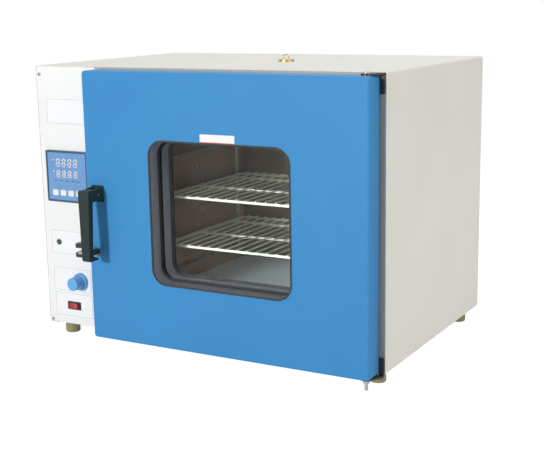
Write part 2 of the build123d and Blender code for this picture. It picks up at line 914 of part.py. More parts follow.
with BuildPart() as temperature_probe:
    rod_x((partition_left - probe_tail, duct_x + probe_reach), probe_depth, probe_z, probe_radius)
    with BuildSketch(Plane.YZ.offset(partition_left - probe_nut_height)):
        with Locations(side_point(probe_depth, probe_z)):
            RegularPolygon(probe_nut_radius, 6)
    extrude(amount=probe_nut_height - seat_gap)
temperature_probe.part.label = "temperature_probe"
export_step(temperature_probe.part, "parts/temperature_probe.step")

# Exhaust vent: flanged tube through the roof, and a turning disc with a wire pull
vent_tube_base = liner_over
with BuildPart() as vent_base:
    rod_z(vent_x, vent_depth, (top_z, top_z + vent_flange), vent_radius)
    fillet(vent_base.faces().sort_by(Axis.Z)[-1].edges(), vent_edge)
    rod_z(vent_x, vent_depth, (vent_tube_base, top_z + vent_edge / 4), vent_bore + vent_wall)
    rod_z(vent_x, vent_depth, (vent_tube_base - overcut, top_z - overcut), vent_bore, mode=Mode.SUBTRACT)
    with BuildSketch(Plane.XY.offset(top_z - 2 * overcut)):
        with Locations((vent_x, front_y + vent_depth)):
            with PolarLocations(vent_hole_circle, vent_hole_count, start_angle=vent_hole_turn):
                Circle(vent_hole_radius)
            Circle(disc_pivot_radius)
    extrude(amount=vent_flange + 3 * overcut, mode=Mode.SUBTRACT)
vent_base.part.label = "vent_base"
export_step(vent_base.part, "parts/vent_base.step")

disc_z = top_z + vent_flange + disc_gap
disc_top = disc_z + disc_thickness
with BuildPart() as vent_disc:
    rod_z(vent_x, vent_depth, (disc_z, disc_top), vent_radius - disc_set_back)
    fillet(vent_disc.faces().sort_by(Axis.Z)[-1].edges(), disc_edge)
    with BuildSketch(Plane.XY.offset(disc_z - overcut)):
        with Locations((vent_x, front_y + vent_depth)):
            with PolarLocations(vent_hole_circle, vent_hole_count, start_angle=vent_hole_turn):
                Circle(vent_hole_radius)
    extrude(amount=disc_thickness + 2 * overcut, mode=Mode.SUBTRACT)
    pivot_span = (disc_z - vent_flange, disc_z + disc_thickness / 2)
    rod_z(vent_x, vent_depth, pivot_span, disc_pivot_radius - running_gap)
    pull_y = front_y + vent_depth
    pull_foot_z = disc_z + pull_sink
    with BuildLine() as pull_path:
        FilletPolyline(
            (vent_x - pull_half, pull_y, pull_foot_z),
            (vent_x - pull_half - pull_splay, pull_y, disc_top + pull_height),
            (vent_x + pull_half + pull_splay, pull_y, disc_top + pull_height),
            (vent_x + pull_half, pull_y, pull_foot_z),
            radius=pull_bend,
        )
    with BuildSketch(Plane(pull_path.line @ 0, z_dir=pull_path.line % 0)):
        Circle(pull_radius)
    sweep(path=pull_path.line)
vent_disc.part.label = "vent_disc"
export_step(vent_disc.part, "parts/vent_disc.step")

# Door: a deep outer tray with the window cut in it
pivot_x = door_right - pivot_inset
pivot_at = door_back - pivot_depth
edge_clear = pin_radius + running_gap
with BuildPart() as door_outer_panel:
    block((door_left, door_right), (door_front, door_back), (door_base, door_top), corner=door_corner)
    fillet(door_outer_panel.faces().sort_by(Axis.Y)[0].edges(), door_edge_radius)
    open_back = door_outer_panel.faces().sort_by(Axis.Y)[-1]
    offset(amount=-sheet, openings=open_back)
    window_block(liner_wall, (door_front - overcut, door_front + 2 * sheet), mode=Mode.SUBTRACT)
    for edge_cut in ((door_base - overcut, door_base + 2 * sheet), (door_top - 2 * sheet, door_top + overcut)):
        rod_z(pivot_x, pivot_at, edge_cut, bush_radius + running_gap, mode=Mode.SUBTRACT)
door_outer_panel.part.label = "door_outer_panel"
export_step(door_outer_panel.part, "parts/door_outer_panel.step")

# Inner panel: a flange inside the tray and a drawn plug that enters the chamber's mouth
plug_back = door_back + plug_depth
plug_x = (chamber_left + plug_gap, chamber_right - plug_gap)
plug_z = (chamber_base + plug_gap, chamber_top - plug_gap)
tray_inset = sheet + fold_gap
flange_front = door_back - liner_wall
with BuildPart() as door_inner_panel:
    block(
        (door_left + tray_inset, door_right - tray_inset),
        (flange_front, door_back),
        (door_base + tray_inset, door_top - tray_inset),
        corner=door_corner - sheet,
    )
    block(plug_x, (flange_front, plug_back), plug_z, corner=plug_corner)
    fillet(door_inner_panel.faces().sort_by(Axis.Y)[-1].edges(), plug_edge)
    block(
        (plug_x[0] + liner_wall, plug_x[1] - liner_wall),
        (flange_front - overcut, plug_back - liner_wall),
        (plug_z[0] + liner_wall, plug_z[1] - liner_wall),
        corner=plug_corner - liner_wall,
        mode=Mode.SUBTRACT,
    )
    window_block(liner_wall, (flange_front - overcut, plug_back + overcut), mode=Mode.SUBTRACT)
door_inner_panel.part.label = "door_inner_panel"
export_step(door_inner_panel.part, "parts/door_inner_panel.step")

with BuildPart() as window_channel:
    window_block(liner_wall, (door_front + sheet + channel_gap, plug_back))
    window_block(0, (door_front, plug_back + overcut), mode=Mode.SUBTRACT)
window_channel.part.label = "window_channel"
export_step(window_channel.part, "parts/window_channel.step")

wool_side = sheet + seat_gap
plug_wool = liner_wall + plug_wool_gap
bush_pocket = bush_length + 2 * pocket_play
with BuildPart() as door_insulation:
    block(
        (door_left + wool_side, door_right - wool_side),
        (door_front + sheet + seat_gap, flange_front - seat_gap),
        (door_base + wool_side, door_top - wool_side),
        corner=door_edge_radius,
    )
    block(
        (plug_x[0] + plug_wool, plug_x[1] - plug_wool),
        (flange_front - overcut, plug_back - liner_wall - seat_gap),
        (plug_z[0] + plug_wool, plug_z[1] - plug_wool),
        corner=plug_corner,
    )
    window_block(liner_wall + seat_gap, (door_front, plug_back), mode=Mode.SUBTRACT)
    for pocket in ((door_base, door_base + bush_pocket), (door_top - bush_pocket, door_top)):
        rod_z(pivot_x, pivot_at, pocket, bush_radius + pocket_play, mode=Mode.SUBTRACT)
    fillet(door_insulation.faces().sort_by(Axis.Y)[0].outer_wire().edges(), door_edge_radius)
door_insulation.part.label = "door_insulation"
export_step(door_insulation.part, "parts/door_insulation.step")

outer_pane = (door_front + outer_pane_depth, door_front + outer_pane_depth + pane_thickness)
inner_pane = (door_front + inner_pane_depth, door_front + inner_pane_depth + pane_thickness)
pane_names = ("window_glass_outer", "window_glass_inner")
for pane_name, pane_span in zip(pane_names, (outer_pane, inner_pane)):
    with BuildPart() as window_glass:
        window_block(-pane_inset, pane_span)
    window_glass.part.label = pane_name
    export_step(window_glass.part, f"parts/{pane_name}.step")

# Rubber: trim on the edge of the outer sheet, and a grooved bead round each pane
with BuildPart() as window_gasket:
    window_block(liner_wall + trim_width, (door_front - trim_stand, door_front))
    window_block(0, (door_front - trim_stand - overcut, door_front + overcut), mode=Mode.SUBTRACT)
    for pane_span in (outer_pane, inner_pane):
        bead_span = (pane_span[0] - bead_lip, pane_span[1] + bead_lip)
        bore_span = (bead_span[0] - overcut, bead_span[1] + overcut)
        groove_span = (pane_span[0] - running_gap, pane_span[1] + running_gap)
        window_block(0, bead_span)
        window_block(-bead_width, bore_span, mode=Mode.SUBTRACT)
        window_block(-pane_groove, groove_span, mode=Mode.SUBTRACT)
window_gasket.part.label = "window_gasket"
export_step(window_gasket.part, "parts/window_gasket.step")

# Silicone seal round the plug, pressed against the front frame when the door is shut
seal_gap = frame_reveal + seal_stand_off
seal_reach = seal_gap + seal_width
with BuildPart() as door_seal:
    block(
        (chamber_left - seal_reach, chamber_right + seal_reach),
        (-seat_gap, door_back),
        (chamber_base - seal_reach, chamber_top + seal_reach),
        corner=seal_reach,
    )
    block(
        (chamber_left - seal_gap, chamber_right + seal_gap),
        (0, door_back - overcut),
        (chamber_base - seal_gap, chamber_top + seal_gap),
        corner=seal_gap,
        mode=Mode.SUBTRACT,
    )
    fillet(door_seal.faces().sort_by(Axis.Y)[-1].edges(), seal_edge)
door_seal.part.label = "door_seal"
export_step(door_seal.part, "parts/door_seal.step")

# Hinges: folded brackets on the cabinet, pins, and bushes in the door's edges
leaf_x = (door_right + hinge_gap, door_right + hinge_gap + bracket_leaf_width)
top_arm = (door_top + hinge_gap, door_top + hinge_gap + bracket_thickness)
bottom_arm = (door_base - hinge_gap - bracket_thickness, door_base - hinge_gap)
arm_left = pivot_x - bracket_end_radius
leaf_spans = ((top_arm[1] - bracket_drop, top_arm[1]), (bottom_arm[0], bottom_arm[0] + bracket_drop))
with BuildPart() as hinge_brackets:
    for arm_span, leaf_span in zip((top_arm, bottom_arm), leaf_spans):
        with BuildSketch(Plane.XY.offset(arm_span[0])):
            with Locations((pivot_x, front_y + pivot_at)):
                Circle(bracket_end_radius)
            with Locations(((arm_left + leaf_x[1]) / 2, front_y - bracket_root / 2)):
                Rectangle(leaf_x[1] - arm_left, bracket_root)
            make_hull()
            with Locations((pivot_x, front_y + pivot_at)):
                Circle(pin_radius, mode=Mode.SUBTRACT)
        extrude(amount=bracket_thickness)
        block(leaf_x, (-bracket_thickness, 0), leaf_span)
hinge_brackets.part.label = "hinge_brackets"
export_step(hinge_brackets.part, "parts/hinge_brackets.step")

with BuildPart() as hinge_pins:
    rod_z(pivot_x, pivot_at, (door_top - bush_length + pin_end_gap, top_arm[1] + pin_seat), pin_radius)
    rod_z(pivot_x, pivot_at, (top_arm[1], top_arm[1] + pin_head), pin_head_radius)
    fillet(hinge_pins.faces().sort_by(Axis.Z)[-1].edges(), pin_head_edge)
    rod_z(pivot_x, pivot_at, (pin_tail, door_base + bush_length - pin_end_gap), pin_radius)
    with BuildSketch(Plane.XY.offset(bottom_arm[0] - nut_height)):
        with Locations((pivot_x, front_y + pivot_at)):
            RegularPolygon(nut_radius, 6)
    extrude(amount=nut_height)
hinge_pins.part.label = "hinge_pins"
export_step(hinge_pins.part, "parts/hinge_pins.step")

bush_flange = hinge_gap - bush_play
with BuildPart() as hinge_bushes:
    rod_z(pivot_x, pivot_at, (door_top - bush_length, door_top), bush_radius)
    rod_z(pivot_x, pivot_at, (door_top, door_top + bush_flange), bush_radius + bush_flange_step)
    rod_z(pivot_x, pivot_at, (door_base, door_base + bush_length), bush_radius)
    rod_z(pivot_x, pivot_at, (door_base - bush_flange, door_base), bush_radius + bush_flange_step)
    bush_bore = (door_base - hinge_gap - overcut, door_top + hinge_gap + overcut)
    rod_z(pivot_x, pivot_at, bush_bore, edge_clear, mode=Mode.SUBTRACT)
hinge_bushes.part.label = "hinge_bushes"
export_step(hinge_bushes.part, "parts/hinge_bushes.step")

# Handle base: two cheeks on a plate, round about the lever's pin
handle_left = door_left + handle_inset
handle_right = handle_left + handle_width
handle_top_z = base_z + handle_top
handle_bottom_z = base_z + handle_bottom
lever_pin_z = handle_top_z - handle_arm_height / 2
lever_pin_at = door_front - lever_pin_out
cheek_radius = handle_arm_height / 2 + cheek_rise
bar_front_top = door_front - handle_reach + lean_out
bar_front_bottom = door_front - handle_reach
handle_mid = (handle_left + handle_right) / 2
hub_half = handle_width / 2 - cheek_thickness - cheek_play
handle_span = (handle_left, handle_right)
with BuildPart() as handle_base:
    with BuildSketch(Plane.YZ.offset(handle_left)):
        with Locations(side_point(door_front - base_plate / 2, lever_pin_z)):
            Rectangle(base_plate, 2 * (cheek_radius + flange_rise))
        with Locations(side_point((door_front + lever_pin_at) / 2, lever_pin_z)):
            Rectangle(lever_pin_out, 2 * cheek_radius)
        with Locations(side_point(lever_pin_at, lever_pin_z)):
            Circle(cheek_radius)
    extrude(amount=handle_width)
    block(
        (handle_left + cheek_thickness, handle_right - cheek_thickness),
        (lever_pin_at - cheek_radius - overcut, door_front - base_plate),
        around(lever_pin_z, 2 * (cheek_radius + overcut)),
        mode=Mode.SUBTRACT,
    )
    rod_x(handle_span, lever_pin_at, lever_pin_z, lever_pin_radius, mode=Mode.SUBTRACT)
handle_base.part.label = "handle_base"
export_step(handle_base.part, "parts/handle_base.step")

with BuildPart() as lever_pin:
    pin_span = (handle_left + pin_seat, handle_right - pin_seat)
    rod_x(pin_span, lever_pin_at, lever_pin_z, lever_pin_radius)
lever_pin.part.label = "lever_pin"
export_step(lever_pin.part, "parts/lever_pin.step")

# Lever: a tapered grip with a head that turns between the cheeks
arm_under_z = handle_top_z - handle_arm_height
nose_at = bar_front_bottom + nose_reach
boss_z = base_z + latch_rise + boss_lift
strap_at = door_front - strap_out
shoulder_radius = cheek_radius + shoulder_play
with BuildPart() as handle_lever:
    with BuildSketch(Plane.YZ.offset(handle_left)) as lever_side:
        with BuildLine():
            Polyline(
                side_point(lever_pin_at, handle_top_z - arm_step),
                side_point(bar_front_top, handle_top_z),
                side_point(bar_front_bottom, handle_bottom_z),
                side_point(nose_at - nose_flat, handle_bottom_z),
                side_point(nose_at, handle_bottom_z + nose_rise),
                side_point(bar_front_bottom + bar_depth, handle_bottom_z + nose_height),
                side_point(bar_front_top + bar_depth, arm_under_z),
                side_point(lever_pin_at, arm_under_z + arm_step),
                close=True,
            )
        make_face()
        fillet(lever_side.vertices().sort_by(Axis.X)[:4], handle_corner)
        with Locations(side_point(lever_pin_at, lever_pin_z)):
            Circle(hub_radius)
    extrude(amount=handle_width)
    # Its left side slopes in, so that the bar narrows towards the free end
    taper_end_z = handle_bottom_z - taper_cut
    with BuildSketch(facing(door_front)):
        with BuildLine():
            Polyline(
                (handle_left, handle_top_z + overcut),
                (handle_left + handle_taper, handle_bottom_z),
                (handle_left + handle_taper, taper_end_z),
                (handle_left - taper_cut, taper_end_z),
                (handle_left - taper_cut, handle_top_z + overcut),
                close=True,
            )
        make_face()
    extrude(amount=2 * handle_reach, mode=Mode.SUBTRACT)
    # Room for the cheeks on both sides of the hub
    for cheek_span in (
        (handle_left - overcut, handle_mid - hub_half),
        (handle_mid + hub_half, handle_right + overcut),
    ):
        rod_x(cheek_span, lever_pin_at, lever_pin_z, shoulder_radius, mode=Mode.SUBTRACT)
        block(
            cheek_span,
            (lever_pin_at, lever_pin_at + shoulder_radius),
            around(lever_pin_z, 2 * (cheek_radius + overcut)),
            mode=Mode.SUBTRACT,
        )
    long_edges = handle_lever.edges().filter_by(GeomType.LINE).filter_by(lambda edge: edge.length > handle_width * 2)
    fillet(long_edges, handle_edge)
    rod_x(handle_span, lever_pin_at, lever_pin_z, lever_pin_radius + running_gap, mode=Mode.SUBTRACT)
    # Boss behind the bar that carries the latch finger
    boss_span = (handle_left + boss_inset, handle_left + boss_inset + boss_width)
    block(
        boss_span,
        (bar_front_bottom + bar_depth - boss_sink, strap_at - strap_thickness),
        (boss_z, boss_z + boss_height),
    )
handle_lever.part.label = "handle_lever"
export_step(handle_lever.part, "parts/handle_lever.step")

# Latch finger: a steel strap on the boss, its end turned back into the keeper's slot
finger_z = base_z + latch_rise + finger_lift
finger_left = door_left - keeper_to_door - finger_reach
tip_at = -keeper_reach + finger_engagement
finger_top = finger_z + finger_thickness / 2
strap_span = (strap_at - strap_thickness, strap_at)
with BuildPart() as latch_finger:
    block(
        (finger_left, boss_span[1]),
        strap_span,
        (finger_z - finger_thickness / 2, boss_z + boss_height),
    )
    block(
        (finger_left - overcut, door_left + strap_step),
        (strap_span[0] - overcut, strap_span[1] + overcut),
        (finger_top, boss_z + boss_height + overcut),
        mode=Mode.SUBTRACT,
    )
    block(
        (finger_left, finger_left + finger_width),
        (strap_span[0], tip_at),
        around(finger_z, finger_thickness),
    )
    fillet(latch_finger.faces().sort_by(Axis.Y)[-1].edges().filter_by(Axis.Z), finger_end_radius)
latch_finger.part.label = "latch_finger"
export_step(latch_finger.part, "parts/latch_finger.step")

# Keeper: a slotted block on the control panel with a roller beside the finger
keeper_right = door_left - keeper_to_door
keeper_left = keeper_right - keeper_width
keeper_z = base_z + latch_rise
slot_span = around(keeper_z, keeper_slot)
roller_x = finger_left - roller_radius - roller_gap
roller_at = -keeper_reach + roller_radius + roller_recess
with BuildPart() as keeper:
    block((keeper_left, keeper_right), (-keeper_reach, 0), around(keeper_z, keeper_height))
    fillet(keeper.edges().filter_by(Axis.Y), keeper_corner)
    block(
        (keeper_left - overcut, keeper_right + overcut),
        (-keeper_reach - overcut, -keeper_reach / 2),
        slot_span,
        mode=Mode.SUBTRACT,
    )
    pin_hole_span = around(keeper_z, 2 * keeper_height)
    rod_z(roller_x, roller_at, pin_hole_span, roller_pin_radius, mode=Mode.SUBTRACT)
keeper.part.label = "keeper"
export_step(keeper.part, "parts/keeper.step")

with BuildPart() as keeper_pin:
    rod_z(roller_x, roller_at, around(keeper_z, keeper_height - 2 * roller_pin_end), roller_pin_radius)
keeper_pin.part.label = "keeper_pin"
export_step(keeper_pin.part, "parts/keeper_pin.step")

with BuildPart() as keeper_roller:
    roller_span = (slot_span[0] + seat_gap, slot_span[1] - seat_gap)
    rod_z(roller_x, roller_at, roller_span, roller_radius)
    rod_z(roller_x, roller_at, roller_span, roller_pin_radius + running_gap, mode=Mode.SUBTRACT)
keeper_roller.part.label = "keeper_roller"
export_step(keeper_roller.part, "parts/keeper_roller.step")

# Temperature controller: bezel, face plate with keys and lamps, window and body
face_size = controller_size - 2 * controller_border
with BuildPart() as controller_bezel:
    block(
        around(controller_x, controller_size),
        (-controller_stand, 0),
        around(controller_z, controller_size),
        corner=controller_corner,
    )
    fillet(controller_bezel.faces().sort_by(Axis.Y)[0].edges(), controller_edge)
    block(
        around(controller_x, face_size),
        (-controller_stand - overcut, overcut),
        around(controller_z, face_size),
        mode=Mode.SUBTRACT,
    )
controller_bezel.part.label = "controller_bezel"
export_step(controller_bezel.part, "parts/controller_bezel.step")

face_front = -controller_stand + face_set_back
face_back = face_front + face_thickness
display_z = controller_z + display_lift
key_z = controller_z - key_drop
led_z = controller_z - led_drop
key_places = [(controller_x - key_left + index * key_pitch, key_z) for index in range(key_count)]
led_places = [(controller_x - led_left + index * led_pitch, led_z) for index in range(led_count)]
with BuildPart() as controller_face:
    block(
        around(controller_x, face_size - 2 * panel_play),
        (face_front, face_back),
        around(controller_z, face_size - 2 * panel_play),
    )
    block(
        around(controller_x, display_width),
        (face_front - overcut, face_back + overcut),
        around(display_z, display_height),
        corner=display_corner,
        mode=Mode.SUBTRACT,
    )
    with BuildSketch(facing(face_front - overcut)):
        with Locations(*key_places):
            RectangleRounded(key_width + 2 * key_gap, key_height + 2 * key_gap, key_corner + key_gap)
        with Locations(*led_places):
            Circle(led_radius + display_play)
    extrude(amount=-face_thickness - 2 * overcut, mode=Mode.SUBTRACT)
controller_face.part.label = "controller_face"
export_step(controller_face.part, "parts/controller_face.step")

with BuildPart() as display_window:
    block(
        around(controller_x, display_width - 2 * display_play),
        (face_front + display_set_back, face_back),
        around(display_z, display_height - 2 * display_play),
        corner=display_corner - display_play,
    )
display_window.part.label = "display_window"
export_step(display_window.part, "parts/display_window.step")

with BuildPart() as status_leds:
    with BuildSketch(facing(face_back)):
        with Locations(*led_places):
            Circle(led_radius)
    extrude(amount=face_thickness)
    fillet(status_leds.faces().group_by(Axis.Y)[0].edges(), led_edge)
status_leds.part.label = "status_leds"
export_step(status_leds.part, "parts/status_leds.step")

for index, (key_x, key_mid_z) in enumerate(key_places):
    with BuildPart() as key:
        block(
            around(key_x, key_width),
            (face_front - key_stand, face_back - key_travel_gap),
            around(key_mid_z, key_height),
            corner=key_corner,
        )
        fillet(key.faces().sort_by(Axis.Y)[0].edges(), key_edge)
    key.part.label = f"key_{index + 1}"
    export_step(key.part, f"parts/key_{index + 1}.step")

with BuildPart() as controller_body:
    block(
        around(controller_x, body_size),
        (0, controller_body_depth),
        around(controller_z, body_size),
        corner=body_corner,
    )
    block(
        around(controller_x, body_size - 2 * body_rim),
        (-overcut, 2 * overcut),
        around(controller_z, body_size - 2 * body_rim),
        mode=Mode.SUBTRACT,
    )
    with BuildSketch(facing(controller_body_depth + overcut)):
        with Locations((controller_x, controller_z)):
            with GridLocations(body_size - 2 * body_rim - terminal_width, 1, 2, 1):
                Rectangle(terminal_width, body_size - 4 * body_rim)
    extrude(amount=body_rim + overcut, mode=Mode.SUBTRACT)
controller_body.part.label = "controller_body"
export_step(controller_body.part, "parts/controller_body.step")

# Pilot lamp: a threaded holder through the panel and its lens
with BuildPart() as lamp_holder:
    rod_y(lamp_x, (-lamp_collar_stand, 0), lamp_z, lamp_radius + lamp_collar)
    rod_y(lamp_x, (-lamp_collar_stand, lamp_length), lamp_z, lamp_radius)
    lamp_bore = (-lens_stand, lamp_bore_depth)
    rod_y(lamp_x, lamp_bore, lamp_z, lamp_radius - lamp_wall, mode=Mode.SUBTRACT)
lamp_holder.part.label = "lamp_holder"
export_step(lamp_holder.part, "parts/lamp_holder.step")

with BuildPart() as lamp_lens:
    lens_span = (-lens_stand, lamp_bore_depth - lens_back_gap)
    rod_y(lamp_x, lens_span, lamp_z, lamp_radius - lamp_wall - lens_play)
    fillet(lamp_lens.faces().sort_by(Axis.Y)[0].edges(), lens_dome)
lamp_lens.part.label = "lamp_lens"
export_step(lamp_lens.part, "parts/lamp_lens.step")

# Four thin plates that frame the controls; they are blank
plate_left = strip_left + plate_left_inset
plate_cut = (-plate_thickness - overcut, overcut)
with BuildPart() as legend_plates:
    for rise, shift in zip(plate_rises, plate_shifts):
        block(
            (plate_left + shift, plate_left + shift + plate_width),
            (-plate_thickness, 0),
            around(base_z + rise, plate_height),
            corner=plate_corner,
        )
    rod_y(lamp_x, plate_cut, lamp_z, lamp_radius + lamp_collar + plate_lamp_play, mode=Mode.SUBTRACT)
    rod_y(knob_x, plate_cut, knob_z, knob_radius / 2, mode=Mode.SUBTRACT)
    block(
        around(rocker_x, rocker_frame_width + 2 * plate_play),
        plate_cut,
        around(rocker_z, rocker_frame_height + 2 * plate_play),
        mode=Mode.SUBTRACT,
    )
    block(
        (keeper_left - plate_play, keeper_right),
        plate_cut,
        around(keeper_z, keeper_height + 2 * plate_play),
        mode=Mode.SUBTRACT,
    )
legend_plates.part.label = "legend_plates"
export_step(legend_plates.part, "parts/legend_plates.step")

# Damper: knob, shaft and a round flap across the air inlet duct
skirt_back = -knob_stand
skirt_front = skirt_back - skirt_height
with BuildPart() as damper_knob:
    with BuildSketch(Plane(origin=(knob_x, front_y, knob_z), x_dir=(1, 0, 0), z_dir=(0, 0, 1))):
        with BuildLine():
            Polyline(
                (0, skirt_back),
                (knob_radius, skirt_back),
                (knob_radius - skirt_slope, skirt_front),
                (knob_top_radius + skirt_shoulder, skirt_front - skirt_shoulder),
                (knob_top_radius, -knob_length),
                (0, -knob_length),
                close=True,
            )
        make_face()
    revolve(axis=Axis((knob_x, front_y, knob_z), (0, 1, 0)), revolution_arc=360)
    fillet(damper_knob.faces().sort_by(Axis.Y)[0].edges(), knob_edge)
    with BuildSketch(facing(skirt_front - overcut)):
        with Locations((knob_x, knob_z)):
            with PolarLocations(knob_top_radius + grip_offset, grip_count):
                Circle(grip_radius)
    extrude(amount=knob_length, mode=Mode.SUBTRACT)
    rod_y(knob_x, (-knob_bore_depth, 0), knob_z, damper_shaft_radius, mode=Mode.SUBTRACT)
damper_knob.part.label = "damper_knob"
export_step(damper_knob.part, "parts/damper_knob.step")

shaft_end = duct_depth + duct_radius + shaft_overrun
with BuildPart() as damper_shaft:
    rod_y(knob_x, (-knob_bore_depth + pin_seat, shaft_end), knob_z, damper_shaft_radius)
damper_shaft.part.label = "damper_shaft"
export_step(damper_shaft.part, "parts/damper_shaft.step")

with BuildPart() as air_inlet_duct:
    duct_span = (knob_x - duct_bay_reach, chamber_left - liner_wall - display_play)
    rod_x(duct_span, duct_depth, knob_z, duct_radius + duct_wall)
    duct_bore = (duct_span[0] - overcut, duct_span[1] + overcut)
    rod_x(duct_bore, duct_depth, knob_z, duct_radius, mode=Mode.SUBTRACT)
    rod_y(knob_x, (0, shaft_end + overcut), knob_z, damper_shaft_radius + running_gap, mode=Mode.SUBTRACT)
air_inlet_duct.part.label = "air_inlet_duct"
export_step(air_inlet_duct.part, "parts/air_inlet_duct.step")

hub_reach = duct_radius - flap_hub_inset
with BuildPart() as damper_flap:
    rod_x(around(knob_x, flap_thickness), duct_depth, knob_z, duct_radius - flap_play)
    hub_span = (duct_depth - hub_reach, duct_depth + hub_reach)
    rod_y(knob_x, hub_span, knob_z, damper_shaft_radius + flap_hub)
    rod_y(knob_x, (0, shaft_end + overcut), knob_z, damper_shaft_radius, mode=Mode.SUBTRACT)
damper_flap.part.label = "damper_flap"
export_step(damper_flap.part, "parts/damper_flap.step")

# Power switch: a framed housing and a rocker that stands tilted in it
with BuildPart() as rocker_frame:
    block(
        around(rocker_x, rocker_frame_width),
        (-rocker_frame_stand, 0),
        around(rocker_z, rocker_frame_height),
        corner=rocker_frame_corner,
    )
    fillet(rocker_frame.faces().sort_by(Axis.Y)[0].edges(), rocker_frame_edge)
    block(
        around(rocker_x, rocker_body_width),
        (0, rocker_body_depth),
        around(rocker_z, rocker_body_height),
    )
    block(
        around(rocker_x, pocket_width),
        (-rocker_frame_stand - overcut, pocket_depth),
        around(rocker_z, pocket_height),
        mode=Mode.SUBTRACT,
    )
rocker_frame.part.label = "rocker_frame"
export_step(rocker_frame.part, "parts/rocker_frame.step")

rocker_plane = Plane(
    origin=(rocker_x, front_y + rocker_pivot_at, rocker_z - rocker_height / 2),
    x_dir=Vector(1, 0, 0).rotate(Axis.Z, -rocker_tilt),
    z_dir=(0, 0, 1),
)
rocker_shoulder = rocker_crest + rocker_shoulder_drop
rocker_side = rocker_radius + overcut
with BuildPart() as power_rocker:
    with BuildSketch(rocker_plane):
        Circle(rocker_radius)
        with BuildLine():
            Polyline(
                (-rocker_side, -rocker_shoulder),
                (0, -rocker_crest),
                (rocker_side, -rocker_shoulder),
                (rocker_side, rocker_back),
                (-rocker_side, rocker_back),
                close=True,
            )
        make_face(mode=Mode.INTERSECT)
    extrude(amount=rocker_height)
    end_edges = power_rocker.faces().filter_by(Axis.Z).edges().filter_by(GeomType.LINE)
    fillet(end_edges.group_by(Axis.Y)[0], rocker_edge)
power_rocker.part.label = "power_rocker"
export_step(power_rocker.part, "parts/power_rocker.step")

# Cable gland on the back, and the relay with its finned heat sink on the partition
with BuildPart() as cord_gland:
    with BuildSketch(facing(cabinet_depth)):
        with Locations((gland_x, gland_z)):
            RegularPolygon(gland_radius, 6)
    extrude(amount=-gland_nut)
    neck_span = (cabinet_depth - gland_sink, cabinet_depth + gland_reach)
    rod_y(gland_x, neck_span, gland_z, gland_radius * gland_neck_share)
    fillet(cord_gland.faces().sort_by(Axis.Y)[-1].edges(), gland_edge)
    bore_span = (neck_span[0] - overcut, neck_span[1] + overcut)
    rod_y(gland_x, bore_span, gland_z, gland_bore, mode=Mode.SUBTRACT)
cord_gland.part.label = "cord_gland"
export_step(cord_gland.part, "parts/cord_gland.step")

relay_at = fan_depth + relay_from_fan
relay_z = probe_z - relay_below_probe
with BuildPart() as relay:
    block(
        (partition_left - relay_stand, partition_left),
        around(relay_at, relay_depth),
        around(relay_z, relay_height),
    )
    with BuildSketch(Plane.YZ.offset(partition_left - relay_stand - overcut)):
        with Locations(side_point(relay_at, relay_z)):
            with GridLocations(relay_depth / fin_count, 1, fin_count, 1):
                Rectangle(fin_gap, relay_height + 2 * overcut)
    extrude(amount=fin_depth, mode=Mode.SUBTRACT)
relay.part.label = "relay"
export_step(relay.part, "parts/relay.step")
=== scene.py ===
import math
import bmesh
import bpy
from mathutils import Matrix, Vector


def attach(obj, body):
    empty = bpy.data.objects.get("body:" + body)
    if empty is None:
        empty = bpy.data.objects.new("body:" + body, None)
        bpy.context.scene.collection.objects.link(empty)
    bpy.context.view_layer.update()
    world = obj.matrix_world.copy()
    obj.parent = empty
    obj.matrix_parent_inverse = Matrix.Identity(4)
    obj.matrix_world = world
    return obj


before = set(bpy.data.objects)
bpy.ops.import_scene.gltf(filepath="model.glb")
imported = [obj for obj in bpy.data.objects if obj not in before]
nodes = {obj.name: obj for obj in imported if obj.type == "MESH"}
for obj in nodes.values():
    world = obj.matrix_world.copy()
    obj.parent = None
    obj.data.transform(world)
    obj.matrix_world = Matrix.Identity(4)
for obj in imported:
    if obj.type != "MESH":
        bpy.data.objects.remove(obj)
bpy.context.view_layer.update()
print("frame loaded with", len(nodes), "nodes")

# Depths in this file are metres behind the cabinet's front face
frontY = -0.1925
scene = bpy.context.scene
scene.view_settings.view_transform = "Standard"


# Camera
cameraView = {
    "place": (1.0231, -1.7608, 0.6281),
    "yaw": -0.511535,
    "pitch": 0.206843,
    "roll": -0.017221,
    "lens": 72.75,
    "sensor": 36,
}


def makeCamera(view):
    yaw, pitch, roll = view["yaw"], view["pitch"], view["roll"]
    ahead = Vector((math.sin(yaw) * math.cos(pitch), math.cos(yaw) * math.cos(pitch), -math.sin(pitch)))
    side = Vector((math.cos(yaw), -math.sin(yaw), 0))
    over = side.cross(ahead)
    across = side * math.cos(roll) + over * math.sin(roll)
    upright = over * math.cos(roll) - side * math.sin(roll)
    data = bpy.data.cameras.new("ovenCamera")
    data.lens = view["lens"]
    data.sensor_width = view["sensor"]
    camera = bpy.data.objects.new("ovenCamera", data)
    scene.collection.objects.link(camera)
    turn = Matrix((across, upright, -ahead)).transposed().to_4x4()
    camera.matrix_world = Matrix.Translation(view["place"]) @ turn
    scene.camera = camera


makeCamera(cameraView)
print("camera placed")


# Small helpers for node trees
def newTree(name):
    material = bpy.data.materials.new(name)
    material.use_nodes = True
    return material, material.node_tree, material.node_tree.nodes["Principled BSDF"]


def addNode(tree, kind, **settings):
    node = tree.nodes.new(kind)
    for key, value in settings.items():
        setattr(node, key, value)
    return node


def joinSockets(tree, start, end):
    tree.links.new(start, end)


def srgb(red, green, blue):
    # 0-255 display values to the linear values that sockets take
    levels = []
    for value in (red, green, blue):
        level = value / 255
        levels.append(level / 12.92 if level <= 0.04045 else ((level + 0.055) / 1.055) ** 2.4)
    return (levels[0], levels[1], levels[2], 1)


